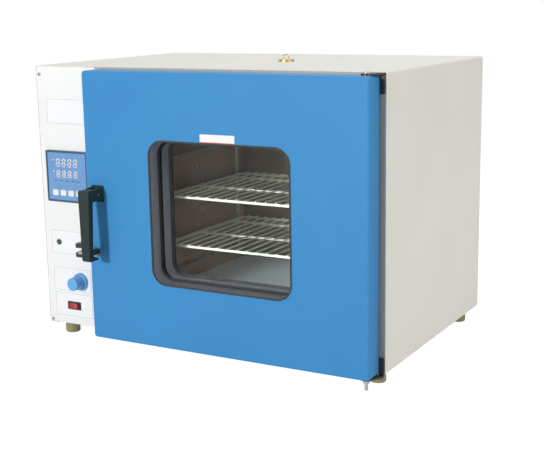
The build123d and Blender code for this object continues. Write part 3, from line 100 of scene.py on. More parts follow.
def openGroup(name, inputs, outputs):
    group = bpy.data.node_groups.new(name, "ShaderNodeTree")
    for label, kind, default in inputs:
        socket = group.interface.new_socket(name=label, in_out="INPUT", socket_type=kind)
        if default is not None:
            socket.default_value = default
    for label, kind in outputs:
        group.interface.new_socket(name=label, in_out="OUTPUT", socket_type=kind)
    return group, group.nodes.new("NodeGroupInput"), group.nodes.new("NodeGroupOutput")


def toneGroup():
    # broad soft patches between two colours
    group, start, end = openGroup(
        "softTone",
        (("Vector", "NodeSocketVector", None), ("Color A", "NodeSocketColor", None),
         ("Color B", "NodeSocketColor", None), ("Scale", "NodeSocketFloat", 6.0),
         ("Amount", "NodeSocketFloat", 0.5)),
        (("Color", "NodeSocketColor"), ("Mask", "NodeSocketFloat")),
    )
    noise = addNode(group, "ShaderNodeTexNoise")
    noise.inputs["Detail"].default_value = 4
    noise.inputs["Roughness"].default_value = 0.55
    spread = addNode(group, "ShaderNodeMapRange")
    spread.inputs["From Min"].default_value = 0.35
    spread.inputs["From Max"].default_value = 0.65
    scaled = addNode(group, "ShaderNodeMath", operation="MULTIPLY")
    mix = addNode(group, "ShaderNodeMix", data_type="RGBA")
    joinSockets(group, start.outputs["Vector"], noise.inputs["Vector"])
    joinSockets(group, start.outputs["Scale"], noise.inputs["Scale"])
    joinSockets(group, noise.outputs["Fac"], spread.inputs["Value"])
    joinSockets(group, spread.outputs["Result"], scaled.inputs[0])
    joinSockets(group, start.outputs["Amount"], scaled.inputs[1])
    joinSockets(group, scaled.outputs[0], mix.inputs[0])
    joinSockets(group, start.outputs["Color A"], mix.inputs[6])
    joinSockets(group, start.outputs["Color B"], mix.inputs[7])
    joinSockets(group, mix.outputs[2], end.inputs["Color"])
    joinSockets(group, scaled.outputs[0], end.inputs["Mask"])
    return group


def grainGroup():
    # close random texture, for powder coat, mouldings and cast skin
    group, start, end = openGroup(
        "fineGrain",
        (("Vector", "NodeSocketVector", None), ("Scale", "NodeSocketFloat", 900.0),
         ("Roughness", "NodeSocketFloat", 0.4), ("Spread", "NodeSocketFloat", 0.08)),
        (("Height", "NodeSocketFloat"), ("Roughness", "NodeSocketFloat")),
    )
    noise = addNode(group, "ShaderNodeTexNoise")
    noise.inputs["Detail"].default_value = 2
    centred = addNode(group, "ShaderNodeMath", operation="SUBTRACT")
    centred.inputs[1].default_value = 0.5
    swing = addNode(group, "ShaderNodeMath", operation="MULTIPLY")
    total = addNode(group, "ShaderNodeMath", operation="ADD")
    joinSockets(group, start.outputs["Vector"], noise.inputs["Vector"])
    joinSockets(group, start.outputs["Scale"], noise.inputs["Scale"])
    joinSockets(group, noise.outputs["Fac"], centred.inputs[0])
    joinSockets(group, centred.outputs[0], swing.inputs[0])
    joinSockets(group, start.outputs["Spread"], swing.inputs[1])
    joinSockets(group, swing.outputs[0], total.inputs[0])
    joinSockets(group, start.outputs["Roughness"], total.inputs[1])
    joinSockets(group, noise.outputs["Fac"], end.inputs["Height"])
    joinSockets(group, total.outputs[0], end.inputs["Roughness"])
    return group


def brushGroup():
    # fine parallel lines; Stretch gives each axis its own scale
    group, start, end = openGroup(
        "brushedLines",
        (("Vector", "NodeSocketVector", None), ("Stretch", "NodeSocketVector", None),
         ("Color A", "NodeSocketColor", None), ("Color B", "NodeSocketColor", None),
         ("Roughness", "NodeSocketFloat", 0.3), ("Spread", "NodeSocketFloat", 0.2)),
        (("Color", "NodeSocketColor"), ("Height", "NodeSocketFloat"), ("Roughness", "NodeSocketFloat")),
    )
    stretch = addNode(group, "ShaderNodeVectorMath", operation="MULTIPLY")
    noise = addNode(group, "ShaderNodeTexNoise")
    noise.inputs["Scale"].default_value = 1
    noise.inputs["Detail"].default_value = 3
    noise.inputs["Roughness"].default_value = 0.65
    mix = addNode(group, "ShaderNodeMix", data_type="RGBA")
    swing = addNode(group, "ShaderNodeMath", operation="MULTIPLY_ADD")
    joinSockets(group, start.outputs["Vector"], stretch.inputs[0])
    joinSockets(group, start.outputs["Stretch"], stretch.inputs[1])
    joinSockets(group, stretch.outputs[0], noise.inputs["Vector"])
    joinSockets(group, noise.outputs["Fac"], mix.inputs[0])
    joinSockets(group, start.outputs["Color A"], mix.inputs[6])
    joinSockets(group, start.outputs["Color B"], mix.inputs[7])
    joinSockets(group, noise.outputs["Fac"], swing.inputs[0])
    joinSockets(group, start.outputs["Spread"], swing.inputs[1])
    joinSockets(group, start.outputs["Roughness"], swing.inputs[2])
    joinSockets(group, mix.outputs[2], end.inputs["Color"])
    joinSockets(group, noise.outputs["Fac"], end.inputs["Height"])
    joinSockets(group, swing.outputs[0], end.inputs["Roughness"])
    return group


def dustGroup():
    # a thin film of dust on faces that look up
    group, start, end = openGroup(
        "settledDust",
        (("Vector", "NodeSocketVector", None), ("Color", "NodeSocketColor", None),
         ("Dust", "NodeSocketColor", None), ("Amount", "NodeSocketFloat", 0.1)),
        (("Color", "NodeSocketColor"), ("Mask", "NodeSocketFloat")),
    )
    shape = addNode(group, "ShaderNodeNewGeometry")
    parts = addNode(group, "ShaderNodeSeparateXYZ")
    upward = addNode(group, "ShaderNodeMapRange")
    upward.inputs["From Min"].default_value = 0.5
    upward.inputs["From Max"].default_value = 1
    noise = addNode(group, "ShaderNodeTexNoise")
    noise.inputs["Scale"].default_value = 35
    noise.inputs["Detail"].default_value = 6
    both = addNode(group, "ShaderNodeMath", operation="MULTIPLY")
    scaled = addNode(group, "ShaderNodeMath", operation="MULTIPLY")
    mix = addNode(group, "ShaderNodeMix", data_type="RGBA")
    joinSockets(group, shape.outputs["Normal"], parts.inputs[0])
    joinSockets(group, parts.outputs["Z"], upward.inputs["Value"])
    joinSockets(group, start.outputs["Vector"], noise.inputs["Vector"])
    joinSockets(group, upward.outputs["Result"], both.inputs[0])
    joinSockets(group, noise.outputs["Fac"], both.inputs[1])
    joinSockets(group, both.outputs[0], scaled.inputs[0])
    joinSockets(group, start.outputs["Amount"], scaled.inputs[1])
    joinSockets(group, scaled.outputs[0], mix.inputs[0])
    joinSockets(group, start.outputs["Color"], mix.inputs[6])
    joinSockets(group, start.outputs["Dust"], mix.inputs[7])
    joinSockets(group, mix.outputs[2], end.inputs["Color"])
    joinSockets(group, scaled.outputs[0], end.inputs["Mask"])
    return group


softTone = toneGroup()
fineGrain = grainGroup()
brushedLines = brushGroup()
settledDust = dustGroup()
print("node groups built")


def placeGroup(tree, group, values):
    node = tree.nodes.new("ShaderNodeGroup")
    node.node_tree = group
    for key, value in values.items():
        node.inputs[key].default_value = value
    return node


def coatedFinish(name, look):
    # paint, plastic or rubber: soft tone, fine grain, a little dust
    material, tree, shader = newTree(name)
    place = addNode(tree, "ShaderNodeTexCoord")
    tone = placeGroup(tree, softTone, {
        "Color A": look["color"], "Color B": look["second"],
        "Scale": look.get("toneScale", 6), "Amount": look.get("toneAmount", 0.6)})
    dust = placeGroup(tree, settledDust, {
        "Dust": look.get("dust", srgb(205, 200, 190)), "Amount": look.get("dustAmount", 0.06)})
    grain = placeGroup(tree, fineGrain, {
        "Scale": look.get("grainScale", 900), "Roughness": look["roughness"],
        "Spread": look.get("spread", 0.1)})
    bump = addNode(tree, "ShaderNodeBump")
    bump.inputs["Strength"].default_value = look.get("bump", 0.1)
    bump.inputs["Distance"].default_value = look.get("bumpDepth", 0.0002)
    for node in (tone, dust, grain):
        joinSockets(tree, place.outputs["Object"], node.inputs["Vector"])
    joinSockets(tree, tone.outputs["Color"], dust.inputs["Color"])
    joinSockets(tree, dust.outputs["Color"], shader.inputs["Base Color"])
    joinSockets(tree, grain.outputs["Roughness"], shader.inputs["Roughness"])
    joinSockets(tree, grain.outputs["Height"], bump.inputs["Height"])
    joinSockets(tree, bump.outputs["Normal"], shader.inputs["Normal"])
    shader.inputs["Metallic"].default_value = look.get("metallic", 0)
    shader.inputs["Specular IOR Level"].default_value = look.get("specular", 0.5)
    shader.inputs["Coat Weight"].default_value = look.get("coat", 0)
    return material


def metalFinish(name, look):
    # bare metal with drawn or brushed lines and faint patches: stains, and on the liner, duct panel and
    # floor plate painted reflection
    material, tree, shader = newTree(name)
    place = addNode(tree, "ShaderNodeTexCoord")
    lines = placeGroup(tree, brushedLines, {
        "Stretch": look["stretch"], "Color A": look["color"], "Color B": look["second"],
        "Roughness": look["roughness"], "Spread": look.get("spread", 0.15)})
    tone = placeGroup(tree, softTone, {
        "Color B": look.get("stainAndReflection", look["second"]),
        "Scale": look.get("toneScale", 7), "Amount": look.get("toneAmount", 0.3)})
    bump = addNode(tree, "ShaderNodeBump")
    bump.inputs["Strength"].default_value = look.get("bump", 0.08)
    bump.inputs["Distance"].default_value = 0.0002
    for node in (lines, tone):
        joinSockets(tree, place.outputs["Object"], node.inputs["Vector"])
    joinSockets(tree, lines.outputs["Color"], tone.inputs["Color A"])
    joinSockets(tree, tone.outputs["Color"], shader.inputs["Base Color"])
    joinSockets(tree, lines.outputs["Roughness"], shader.inputs["Roughness"])
    joinSockets(tree, lines.outputs["Height"], bump.inputs["Height"])
    joinSockets(tree, bump.outputs["Normal"], shader.inputs["Normal"])
    shader.inputs["Metallic"].default_value = look.get("metallic", 1)
    return material


def zincFinish(name, look):
    # zinc coating with its spangle of flat crystals
    material, tree, shader = newTree(name)
    place = addNode(tree, "ShaderNodeTexCoord")
    cells = addNode(tree, "ShaderNodeTexVoronoi")
    cells.inputs["Scale"].default_value = look["spangle"]
    grey = addNode(tree, "ShaderNodeSeparateColor")
    mix = addNode(tree, "ShaderNodeMix", data_type="RGBA")
    mix.inputs[6].default_value = look["color"]
    mix.inputs[7].default_value = look["second"]
    rough = addNode(tree, "ShaderNodeMapRange")
    rough.inputs["To Min"].default_value = look["roughness"] - 0.08
    rough.inputs["To Max"].default_value = look["roughness"] + 0.1
    joinSockets(tree, place.outputs["Object"], cells.inputs["Vector"])
    joinSockets(tree, cells.outputs["Color"], grey.inputs[0])
    joinSockets(tree, grey.outputs[0], mix.inputs[0])
    joinSockets(tree, grey.outputs[1], rough.inputs["Value"])
    joinSockets(tree, mix.outputs[2], shader.inputs["Base Color"])
    joinSockets(tree, rough.outputs["Result"], shader.inputs["Roughness"])
    shader.inputs["Metallic"].default_value = 0.9
    return material


def fibreFinish(name, look):
    # mineral wool: matted fibres over soft yellow tone
    material, tree, shader = newTree(name)
    place = addNode(tree, "ShaderNodeTexCoord")
    tone = placeGroup(tree, softTone, {
        "Color A": look["color"], "Color B": look["second"], "Scale": 30.0, "Amount": 0.8})
    fibres = addNode(tree, "ShaderNodeTexNoise")
    fibres.inputs["Scale"].default_value = 260
    fibres.inputs["Detail"].default_value = 8
    fibres.inputs["Distortion"].default_value = 2.5
    bump = addNode(tree, "ShaderNodeBump")
    bump.inputs["Strength"].default_value = 0.8
    bump.inputs["Distance"].default_value = 0.002
    joinSockets(tree, place.outputs["Object"], tone.inputs["Vector"])
    joinSockets(tree, place.outputs["Object"], fibres.inputs["Vector"])
    joinSockets(tree, tone.outputs["Color"], shader.inputs["Base Color"])
    joinSockets(tree, fibres.outputs["Fac"], bump.inputs["Height"])
    joinSockets(tree, bump.outputs["Normal"], shader.inputs["Normal"])
    shader.inputs["Roughness"].default_value = 0.95
    return material


def glassFinish(name, look):
    # clear float glass; shadow rays pass, so the chamber is lit through both panes
    material, tree, shader = newTree(name)
    place = addNode(tree, "ShaderNodeTexCoord")
    smear = placeGroup(tree, fineGrain, {"Scale": 14.0, "Roughness": look["roughness"], "Spread": 0.03})
    tone = placeGroup(tree, softTone, {
        "Color A": look["color"], "Color B": look["second"], "Scale": 3.0, "Amount": 0.5})
    rays = addNode(tree, "ShaderNodeLightPath")
    through = addNode(tree, "ShaderNodeMath", operation="MULTIPLY_ADD")
    through.inputs[1].default_value = -look["passes"]
    through.inputs[2].default_value = 1
    joinSockets(tree, place.outputs["Object"], smear.inputs["Vector"])
    joinSockets(tree, place.outputs["Object"], tone.inputs["Vector"])
    joinSockets(tree, tone.outputs["Color"], shader.inputs["Base Color"])
    joinSockets(tree, smear.outputs["Roughness"], shader.inputs["Roughness"])
    joinSockets(tree, rays.outputs["Is Shadow Ray"], through.inputs[0])
    joinSockets(tree, through.outputs[0], shader.inputs["Alpha"])
    shader.inputs["Transmission Weight"].default_value = 1
    shader.inputs["IOR"].default_value = 1.47
    shader.inputs["Specular Tint"].default_value = look["mirror"]
    return material


# Finishes, one entry each
coatedLooks = {
    "cabinetPaint": {"color": srgb(234, 233, 226), "second": srgb(226, 225, 216), "roughness": 0.42,
                     "grainScale": 1400.0, "bump": 0.16, "toneAmount": 0.5, "dustAmount": 0.1},
    "frontPaint": {"color": srgb(247, 248, 248), "second": srgb(242, 244, 244), "roughness": 0.4,
                   "grainScale": 1400.0, "bump": 0.14, "toneAmount": 0.5},
    # painted shade: the front frame is greyer than the control panel, standing in for the door's shadow on
    # the strip right of the door
    "frameShadedPaint": {"color": srgb(182, 182, 172), "second": srgb(174, 174, 164), "roughness": 0.4,
                   "grainScale": 1400.0, "bump": 0.14, "toneAmount": 0.5},
    "doorPaint": {"color": srgb(64, 145, 205), "second": srgb(60, 139, 200), "roughness": 0.5,
                  "specular": 0.2, "grainScale": 1100.0, "bump": 0.1, "toneAmount": 0.7,
                  "toneScale": 4.0, "spread": 0.08},
    "hingePaint": {"color": srgb(34, 36, 38), "second": srgb(26, 27, 29), "roughness": 0.4,
                   "bump": 0.12, "dustAmount": 0.12},
    "handlePlastic": {"color": srgb(38, 52, 50), "second": srgb(31, 44, 42), "roughness": 0.5,
                      "specular": 0.2, "grainScale": 2200.0, "bump": 0.25, "dustAmount": 0.05},
    "keeperPlastic": {"color": srgb(24, 27, 29), "second": srgb(18, 20, 22), "roughness": 0.42,
                      "bump": 0.15},
    "lampRim": {"color": srgb(28, 78, 56), "second": srgb(24, 70, 50), "roughness": 0.42,
                "bump": 0.15},
    "slatePlastic": {"color": srgb(58, 84, 104), "second": srgb(48, 72, 92), "roughness": 0.4,
                     "bump": 0.15},
    "membraneBlue": {"color": srgb(112, 160, 214), "second": srgb(98, 148, 206), "roughness": 0.3,
                     "grainScale": 2600.0, "bump": 0.06, "toneScale": 25.0},
    "keyWhite": {"color": srgb(238, 242, 244), "second": srgb(228, 234, 238), "roughness": 0.35,
                 "bump": 0.05, "dustAmount": 0.02},
    "ledPale": {"color": srgb(196, 214, 240), "second": srgb(180, 196, 228), "roughness": 0.25,
               "bump": 0.03},
    "lampGreen": {"color": srgb(22, 88, 62), "second": srgb(14, 66, 48), "roughness": 0.2,
                  "toneScale": 300.0, "bump": 0.05, "coat": 0.4},
    "platePolyester": {"color": srgb(249, 250, 251), "second": srgb(246, 247, 249), "roughness": 0.45,
                       "grainScale": 2000.0, "bump": 0.06, "dustAmount": 0.02},
    "knobBlue": {"color": srgb(104, 178, 234), "second": srgb(92, 168, 228), "roughness": 0.35,
                 "grainScale": 2400.0, "bump": 0.1},
    "rockerRed": {"color": srgb(178, 16, 34), "second": srgb(164, 14, 30), "roughness": 0.25,
                  "bump": 0.05, "coat": 0.3},
    "gasketRubber": {"color": srgb(24, 25, 26), "second": srgb(34, 35, 36), "roughness": 0.6,
                     "grainScale": 1500.0, "bump": 0.25, "dustAmount": 0.2},
    "siliconeSeal": {"color": srgb(206, 200, 188), "second": srgb(194, 186, 172), "roughness": 0.55,
                     "grainScale": 1200.0, "bump": 0.2},
    "feetTan": {"color": srgb(158, 150, 112), "second": srgb(136, 128, 92), "roughness": 0.55,
                "bump": 0.2, "dustAmount": 0.15},
    # painted shade: near black, used only for the dark crosses that stand for the shade in the screws' cross
    # recesses
    "recessShadeBlack": {"color": srgb(30, 31, 32), "second": srgb(40, 40, 40), "roughness": 0.5, "bump": 0.1},
    "lineGrey": {"color": srgb(196, 198, 202), "second": srgb(184, 186, 192), "roughness": 0.5,
                 "bump": 0.02, "dustAmount": 0.0},
    "digitCream": {"color": srgb(240, 228, 212), "second": srgb(226, 216, 204), "roughness": 0.4,
                   "toneScale": 160.0, "bump": 0.02, "dustAmount": 0.0},
    "markPale": {"color": srgb(176, 200, 240), "second": srgb(160, 186, 232), "roughness": 0.4,
                 "bump": 0.02, "dustAmount": 0.0},
    "markDark": {"color": srgb(40, 60, 96), "second": srgb(30, 46, 80), "roughness": 0.4,
                 "bump": 0.02, "dustAmount": 0.0},
    "tabWhite": {"color": srgb(246, 246, 246), "second": srgb(240, 240, 242), "roughness": 0.4,
                 "bump": 0.03, "dustAmount": 0.02},
    "tabRed": {"color": srgb(206, 60, 76), "second": srgb(190, 48, 66), "roughness": 0.4,
               "bump": 0.03, "dustAmount": 0.0},
}
metalLooks = {
    # painted reflection: the liner's brownish colour and brown patches stand in for the brown tones its
    # steel reflects
    "linerSteel": {"color": srgb(176, 166, 156), "second": srgb(150, 138, 126), "roughness": 0.24,
                   "stretch": (6, 6, 420), "stainAndReflection": srgb(128, 108, 92), "toneAmount": 0.5},
    # painted reflection: the window channel's steel grey is lightened to a pale blue-grey and made half
    # metallic, for what its steel reflects
    "channelSteel": {"color": srgb(168, 174, 186), "second": srgb(140, 146, 158), "roughness": 0.26,
                     "stretch": (6, 6, 420), "metallic": 0.45},
    # painted reflection: the duct panel's brown colour and brown patches stand in for the brown tones its
    # steel reflects, with less metal so they show
    "ductSteel": {"color": srgb(186, 152, 134), "second": srgb(158, 122, 106), "roughness": 0.34,
                  "stretch": (6, 6, 420), "stainAndReflection": srgb(132, 98, 82), "toneAmount": 0.6,
                  "metallic": 0.35},
    # painted reflection: the floor plate is near white with a pale blue tint and hardly metallic, standing
    # in for the bright surroundings its steel reflects
    "floorSteel": {"color": srgb(226, 232, 242), "second": srgb(214, 220, 232), "roughness": 0.3,
                   "stretch": (6, 420, 6), "stainAndReflection": srgb(190, 194, 200), "toneAmount": 0.3,
                   "metallic": 0.1},
    # painted reflection: the shelf wires are cream-white and less metallic, standing in for the bright
    # reflections of their chrome
    "wireReflectionCream": {"color": srgb(244, 238, 226), "second": srgb(230, 222, 208), "roughness": 0.3,
                   "stretch": (300, 300, 300), "toneScale": 40.0, "metallic": 0.4},
    "rackSteel": {"color": srgb(190, 184, 174), "second": srgb(168, 160, 148), "roughness": 0.3,
                  "stretch": (60, 60, 20)},
    "turnedSteel": {"color": srgb(176, 176, 176), "second": srgb(150, 150, 150), "roughness": 0.28,
                    "stretch": (900, 90, 900)},
    "castAluminium": {"color": srgb(190, 191, 192), "second": srgb(168, 169, 170), "roughness": 0.4,
                      "stretch": (260, 260, 260), "bump": 0.2},
    "ventBrass": {"color": srgb(212, 190, 146), "second": srgb(178, 150, 100), "roughness": 0.32,
                  "stretch": (500, 500, 60), "stainAndReflection": srgb(140, 116, 72), "toneScale": 90.0,
                  "toneAmount": 0.5},
    "sheathSteel": {"color": srgb(120, 104, 88), "second": srgb(86, 72, 60), "roughness": 0.45,
                    "stretch": (120, 120, 120), "toneAmount": 0.6},
}
finishes = {name: coatedFinish(name, look) for name, look in coatedLooks.items()}
finishes.update({name: metalFinish(name, look) for name, look in metalLooks.items()})
finishes["zincSheet"] = zincFinish("zincSheet", {
    "color": srgb(186, 190, 192), "second": srgb(160, 165, 168), "roughness": 0.42, "spangle": 90})
finishes["mineralWool"] = fibreFinish("mineralWool", {
    "color": srgb(206, 192, 140), "second": srgb(178, 162, 110)})
finishes["floatGlass"] = glassFinish("floatGlass", {
    "color": (0.92, 0.97, 0.96, 1), "second": (0.88, 0.95, 0.94, 1), "roughness": 0.0,
    "passes": 0.94, "mirror": (0.12, 0.12, 0.12, 1)})
print("finishes made:", len(finishes))

# Which finish each node takes
nodeFinishes = {
    "cabinetPaint": ("outer_shell", "base_pan", "rear_cover"),
    "frontPaint": ("control_panel",),
    "frameShadedPaint": ("front_frame",),
    "doorPaint": ("door_outer_panel",),
    "hingePaint": ("hinge_brackets",),
    "linerSteel": ("chamber_liner", "door_inner_panel", "air_inlet_duct"),
    "channelSteel": ("window_channel",),
    "ductSteel": ("duct_panel",),
    "floorSteel": ("floor_plate",),
    "rackSteel": ("shelf_racks", "temperature_probe"),
    "sheathSteel": ("heater_element",),
    "zincSheet": ("partition", "damper_flap", "fan_impeller"),
    "wireReflectionCream": ("wire_shelf_lower", "wire_shelf_upper"),
    "turnedSteel": ("fan_shaft", "damper_shaft", "hinge_pins", "keeper_pin", "keeper_roller",
                    "lever_pin", "latch_finger", "panel_screws"),
    "castAluminium": ("fan_motor", "relay"),
    "mineralWool": ("insulation_slabs", "door_insulation"),
    "floatGlass": ("window_glass_inner", "window_glass_outer"),
    "gasketRubber": ("window_gasket",),
    "siliconeSeal": ("door_seal",),
    "handlePlastic": ("handle_lever", "handle_base"),
    "keeperPlastic": ("keeper", "rocker_frame", "cord_gland", "controller_body"),
    "lampRim": ("lamp_holder",),
    "slatePlastic": ("controller_bezel",),
    "membraneBlue": ("controller_face", "display_window"),
    "keyWhite": ("key_1", "key_2", "key_3", "key_4"),
    "ledPale": ("status_leds",),
    "lampGreen": ("lamp_lens",),
    "platePolyester": ("legend_plates",),
    "knobBlue": ("damper_knob",),
    "rockerRed": ("power_rocker",),
    "ventBrass": ("vent_base", "vent_disc", "hinge_bushes"),
    "feetTan": ("feet",),
}
dressed = set()
for finishName, members in nodeFinishes.items():
    for member in members:
        for index in range(len(nodes[member].data.materials)):
            nodes[member].data.materials[index] = finishes[finishName]
        dressed.add(member)
print("nodes dressed:", len(dressed), "left plain:", sorted(set(nodes) - dressed))


# Small helpers for new pieces
standUp = Matrix.Rotation(math.radians(90), 3, "X")
quarterTurn = Matrix.Rotation(math.radians(90), 3, "Z")


def flatPatch(bm, centre, width, height, depth, thickness):
    # a thin upright plate that faces the front
    made = bmesh.ops.create_grid(bm, x_segments=1, y_segments=1, size=0.5)
    bmesh.ops.scale(bm, vec=(width, height, 1), verts=made["verts"])
    bmesh.ops.rotate(bm, verts=made["verts"], cent=(0, 0, 0), matrix=standUp)
    bmesh.ops.translate(bm, vec=(centre[0], frontY + depth, centre[1]), verts=made["verts"])
    faces = list({f for v in made["verts"] for f in v.link_faces})
    raised = bmesh.ops.extrude_face_region(bm, geom=faces)
    risen = [g for g in raised["geom"] if isinstance(g, bmesh.types.BMVert)]
    bmesh.ops.translate(bm, vec=(0, -thickness, 0), verts=risen)


def finishPiece(bm, name, finish, body):
    bmesh.ops.remove_doubles(bm, verts=bm.verts, dist=0.000001)
    bmesh.ops.recalc_face_normals(bm, faces=bm.faces)
    mesh = bpy.data.meshes.new(name)
    bm.to_mesh(mesh)
    bm.free()
    mesh.materials.append(finishes[finish])
    piece = bpy.data.objects.new(name, mesh)
    scene.collection.objects.link(piece)
    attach(piece, body)


# Seven-segment digits in the controller's window
digitRows = {
    "left": -0.3110,
    "pitch": 0.0134,
    "count": 4,
    "rows": ((0.3360, 0.0168, 0.0098), (0.3150, 0.0146, 0.0092)),  # middle height, tall, wide
    "stroke": 0.0031,
    "barShare": 0.92,  # a bar's length as a share of its place
    "point": 0.0012,
    "pointAcross": 0.0006,
    "pointRise": 0.0008,
    "slant": 0.09,
    "depth": -0.00458,
    "thickness": 0.00014,
}


def segmentBar(bm, centre, length, stroke, upright, depth, thickness):
    made = bmesh.ops.create_circle(bm, cap_ends=True, segments=6, radius=0.5)
    verts = made["verts"]
    for v in verts:
        flat = abs(v.co.x) < 0.4
        v.co.x = math.copysign(length / 2 - (stroke / 2 if flat else 0), v.co.x)
        v.co.y = math.copysign(stroke / 2, v.co.y) if flat else 0
    if upright:
        bmesh.ops.rotate(bm, verts=verts, cent=(0, 0, 0), matrix=quarterTurn)
    bmesh.ops.rotate(bm, verts=verts, cent=(0, 0, 0), matrix=standUp)
    bmesh.ops.translate(bm, vec=(centre[0], frontY + depth, centre[1]), verts=verts)
    faces = list({f for v in verts for f in v.link_faces})
    raised = bmesh.ops.extrude_face_region(bm, geom=faces)
    risen = [g for g in raised["geom"] if isinstance(g, bmesh.types.BMVert)]
    bmesh.ops.translate(bm, vec=(0, -thickness, 0), verts=risen)
    return verts + risen


def makeDigits(look):
    bm = bmesh.new()
    for middle, tall, wide in look["rows"]:
        for index in range(look["count"]):
            x = look["left"] + wide / 2 + index * look["pitch"]
            verts = []
            reach = wide - look["stroke"]
            rise = (tall - look["stroke"]) / 2
            for level in (-1, 0, 1):
                verts += segmentBar(bm, (x, middle + level * rise), reach * look["barShare"],
                                    look["stroke"], False, look["depth"], look["thickness"])
            for side in (-1, 1):
                for level in (-0.5, 0.5):
                    verts += segmentBar(bm, (x + side * reach / 2, middle + level * rise),
                                        rise * look["barShare"], look["stroke"], True,
                                        look["depth"], look["thickness"])
            for v in verts:
                v.co.x += (v.co.z - middle) * look["slant"]
            corner = (x + wide / 2 + look["pointAcross"], middle - tall / 2 + look["pointRise"])
            flatPatch(bm, corner, look["point"], look["point"], look["depth"], look["thickness"])
    finishPiece(bm, "displayDigits", "digitCream", "cabinet")


makeDigits(digitRows)
print("digits made")

# Small marks on the controller's face
faceMarks = {
    "pale": ((-0.3175, 0.3410, 0.0046, 0.0036), (-0.3170, 0.3195, 0.0044, 0.0036),
             (-0.3045, 0.3478, 0.0050, 0.0022)),  # middle across, middle height, wide, tall
    "paleDepth": -0.00460,
    "darkFirst": (-0.3126, 0.3022),
    "darkPitch": 0.0131,
    "darkCount": 5,
    "darkSize": (0.0046, 0.0016),
    "darkDepth": -0.00478,
    "thickness": 0.00012,
}


def makeFaceMarks(look):
    bm = bmesh.new()
    for x, z, wide, tall in look["pale"]:
        flatPatch(bm, (x, z), wide, tall, look["paleDepth"], look["thickness"])
    finishPiece(bm, "displayMarks", "markPale", "cabinet")
    bm = bmesh.new()
    first, z = look["darkFirst"]
    wide, tall = look["darkSize"]
    for index in range(look["darkCount"]):
        x = first + index * look["darkPitch"]
        flatPatch(bm, (x, z), wide, tall, look["darkDepth"], look["thickness"])
    finishPiece(bm, "lampMarks", "markDark", "cabinet")


makeFaceMarks(faceMarks)
print("controller marks made")

# Printed border lines on the four blank plates
plateLines = {
    "plates": ((-0.2850, 0.4303), (-0.2905, 0.1845), (-0.2900, 0.1130), (-0.2890, 0.0642)),
    "width": 0.0866,
    "height": 0.0446,
    "line": 0.0007,
    "depth": -0.00055,
    "thickness": 0.00015,
}


def makePlateLines(look):
    bm = bmesh.new()
    wide, tall, line = look["width"], look["height"], look["line"]
    for x, z in look["plates"]:
        for side in (-1, 1):
            flatPatch(bm, (x, z + side * (tall - line) / 2), wide, line, look["depth"], look["thickness"])
            flatPatch(bm, (x + side * (wide - line) / 2, z), line, tall - 2 * line, look["depth"],
                      look["thickness"])
    finishPiece(bm, "plateLines", "lineGrey", "cabinet")


makePlateLines(plateLines)
print("plate lines made")

# Blank tab above the window, with a plain red lower edge
doorTab = {
    "middle": (0.0655, 0.4008),
    "width": 0.067,
    "height": 0.0146,
    "edge": 0.0016,
    "depth": -0.04245,
    "thickness": 0.00035,
    "rounding": 0.0001,
}


def makeDoorTab(look):
    x, z = look["middle"]
    bm = bmesh.new()
    flatPatch(bm, (x, z + look["edge"] / 2), look["width"], look["height"] - look["edge"], look["depth"],
              look["thickness"])
    bmesh.ops.bevel(bm, geom=list(bm.edges), offset=look["rounding"], affect="EDGES", segments=1,
                    profile=0.5, material=-1)
    finishPiece(bm, "doorTab", "tabWhite", "door")
    bm = bmesh.new()
    flatPatch(bm, (x, z - (look["height"] - look["edge"]) / 2), look["width"], look["edge"], look["depth"],
              look["thickness"])
    finishPiece(bm, "doorTabEdge", "tabRed", "door")


makeDoorTab(doorTab)
print("door tab made")

# Cross recesses in the panel's screws, drawn as dark crosses: painted shade in each recess
screwCrosses = {
    "places": ((-0.3420, 0.0312), (-0.3420, 0.4970), (-0.22165, 0.0312), (-0.22165, 0.4970)),
    "arm": 0.0036,
    "stroke": 0.0008,
    "depth": -0.0015,
    "thickness": 0.00018,
}


def makeCrosses(look):
    bm = bmesh.new()
    for x, z in look["places"]:
        flatPatch(bm, (x, z), look["arm"], look["stroke"], look["depth"], look["thickness"])
        flatPatch(bm, (x, z), look["stroke"], look["arm"], look["depth"], look["thickness"])
    finishPiece(bm, "screwCrosses", "recessShadeBlack", "cabinet")


makeCrosses(screwCrosses)
print("screw crosses made")

# Floor, light and surroundings
stageLook = {
    "floorSize": 60.0,
    "floorColor": (0.8, 0.8, 0.8, 1),
    "floorGlow": 0.96,
    "floorShare": 0.36,
    "ambient": 0.14,
    "ambientColor": (1.0, 1.0, 1.0, 1),
}
lampLooks = {
    "keyLamp": {"place": (-0.85, -4.9, 1.25), "aim": (0.0, 0.0, 0.25), "size": 0.5, "power": 143.0,
                "color": (1.0, 0.995, 0.98)},
    "fillLamp": {"place": (-0.9, -2.6, 2.2), "aim": (0.05, 0.0, 0.2), "size": 0.9, "power": 5.0,
                 "color": (1.0, 1.0, 1.0)},
    "sideLamp": {"place": (2.8, -0.35, 1.2), "aim": (0.3, 0.0, 0.25), "size": 1.4, "power": 27.0,
                 "color": (1.0, 0.97, 0.92)},
    "topLamp": {"place": (0.2, 0.4, 2.9), "aim": (0.0, 0.0, 0.4), "size": 2.0, "power": 35.0,
                "color": (1.0, 1.0, 1.0)},
}


def directRays(tree):
    # 1 for camera, glossy and transmission rays, 0 for the light that falls on the object
    rays = addNode(tree, "ShaderNodeLightPath")
    seen = addNode(tree, "ShaderNodeMath", operation="MAXIMUM")
    seenAll = addNode(tree, "ShaderNodeMath", operation="MAXIMUM")
    joinSockets(tree, rays.outputs["Is Camera Ray"], seen.inputs[0])
    joinSockets(tree, rays.outputs["Is Glossy Ray"], seen.inputs[1])
    joinSockets(tree, seen.outputs[0], seenAll.inputs[0])
    joinSockets(tree, rays.outputs["Is Transmission Ray"], seenAll.inputs[1])
    return seenAll.outputs[0]


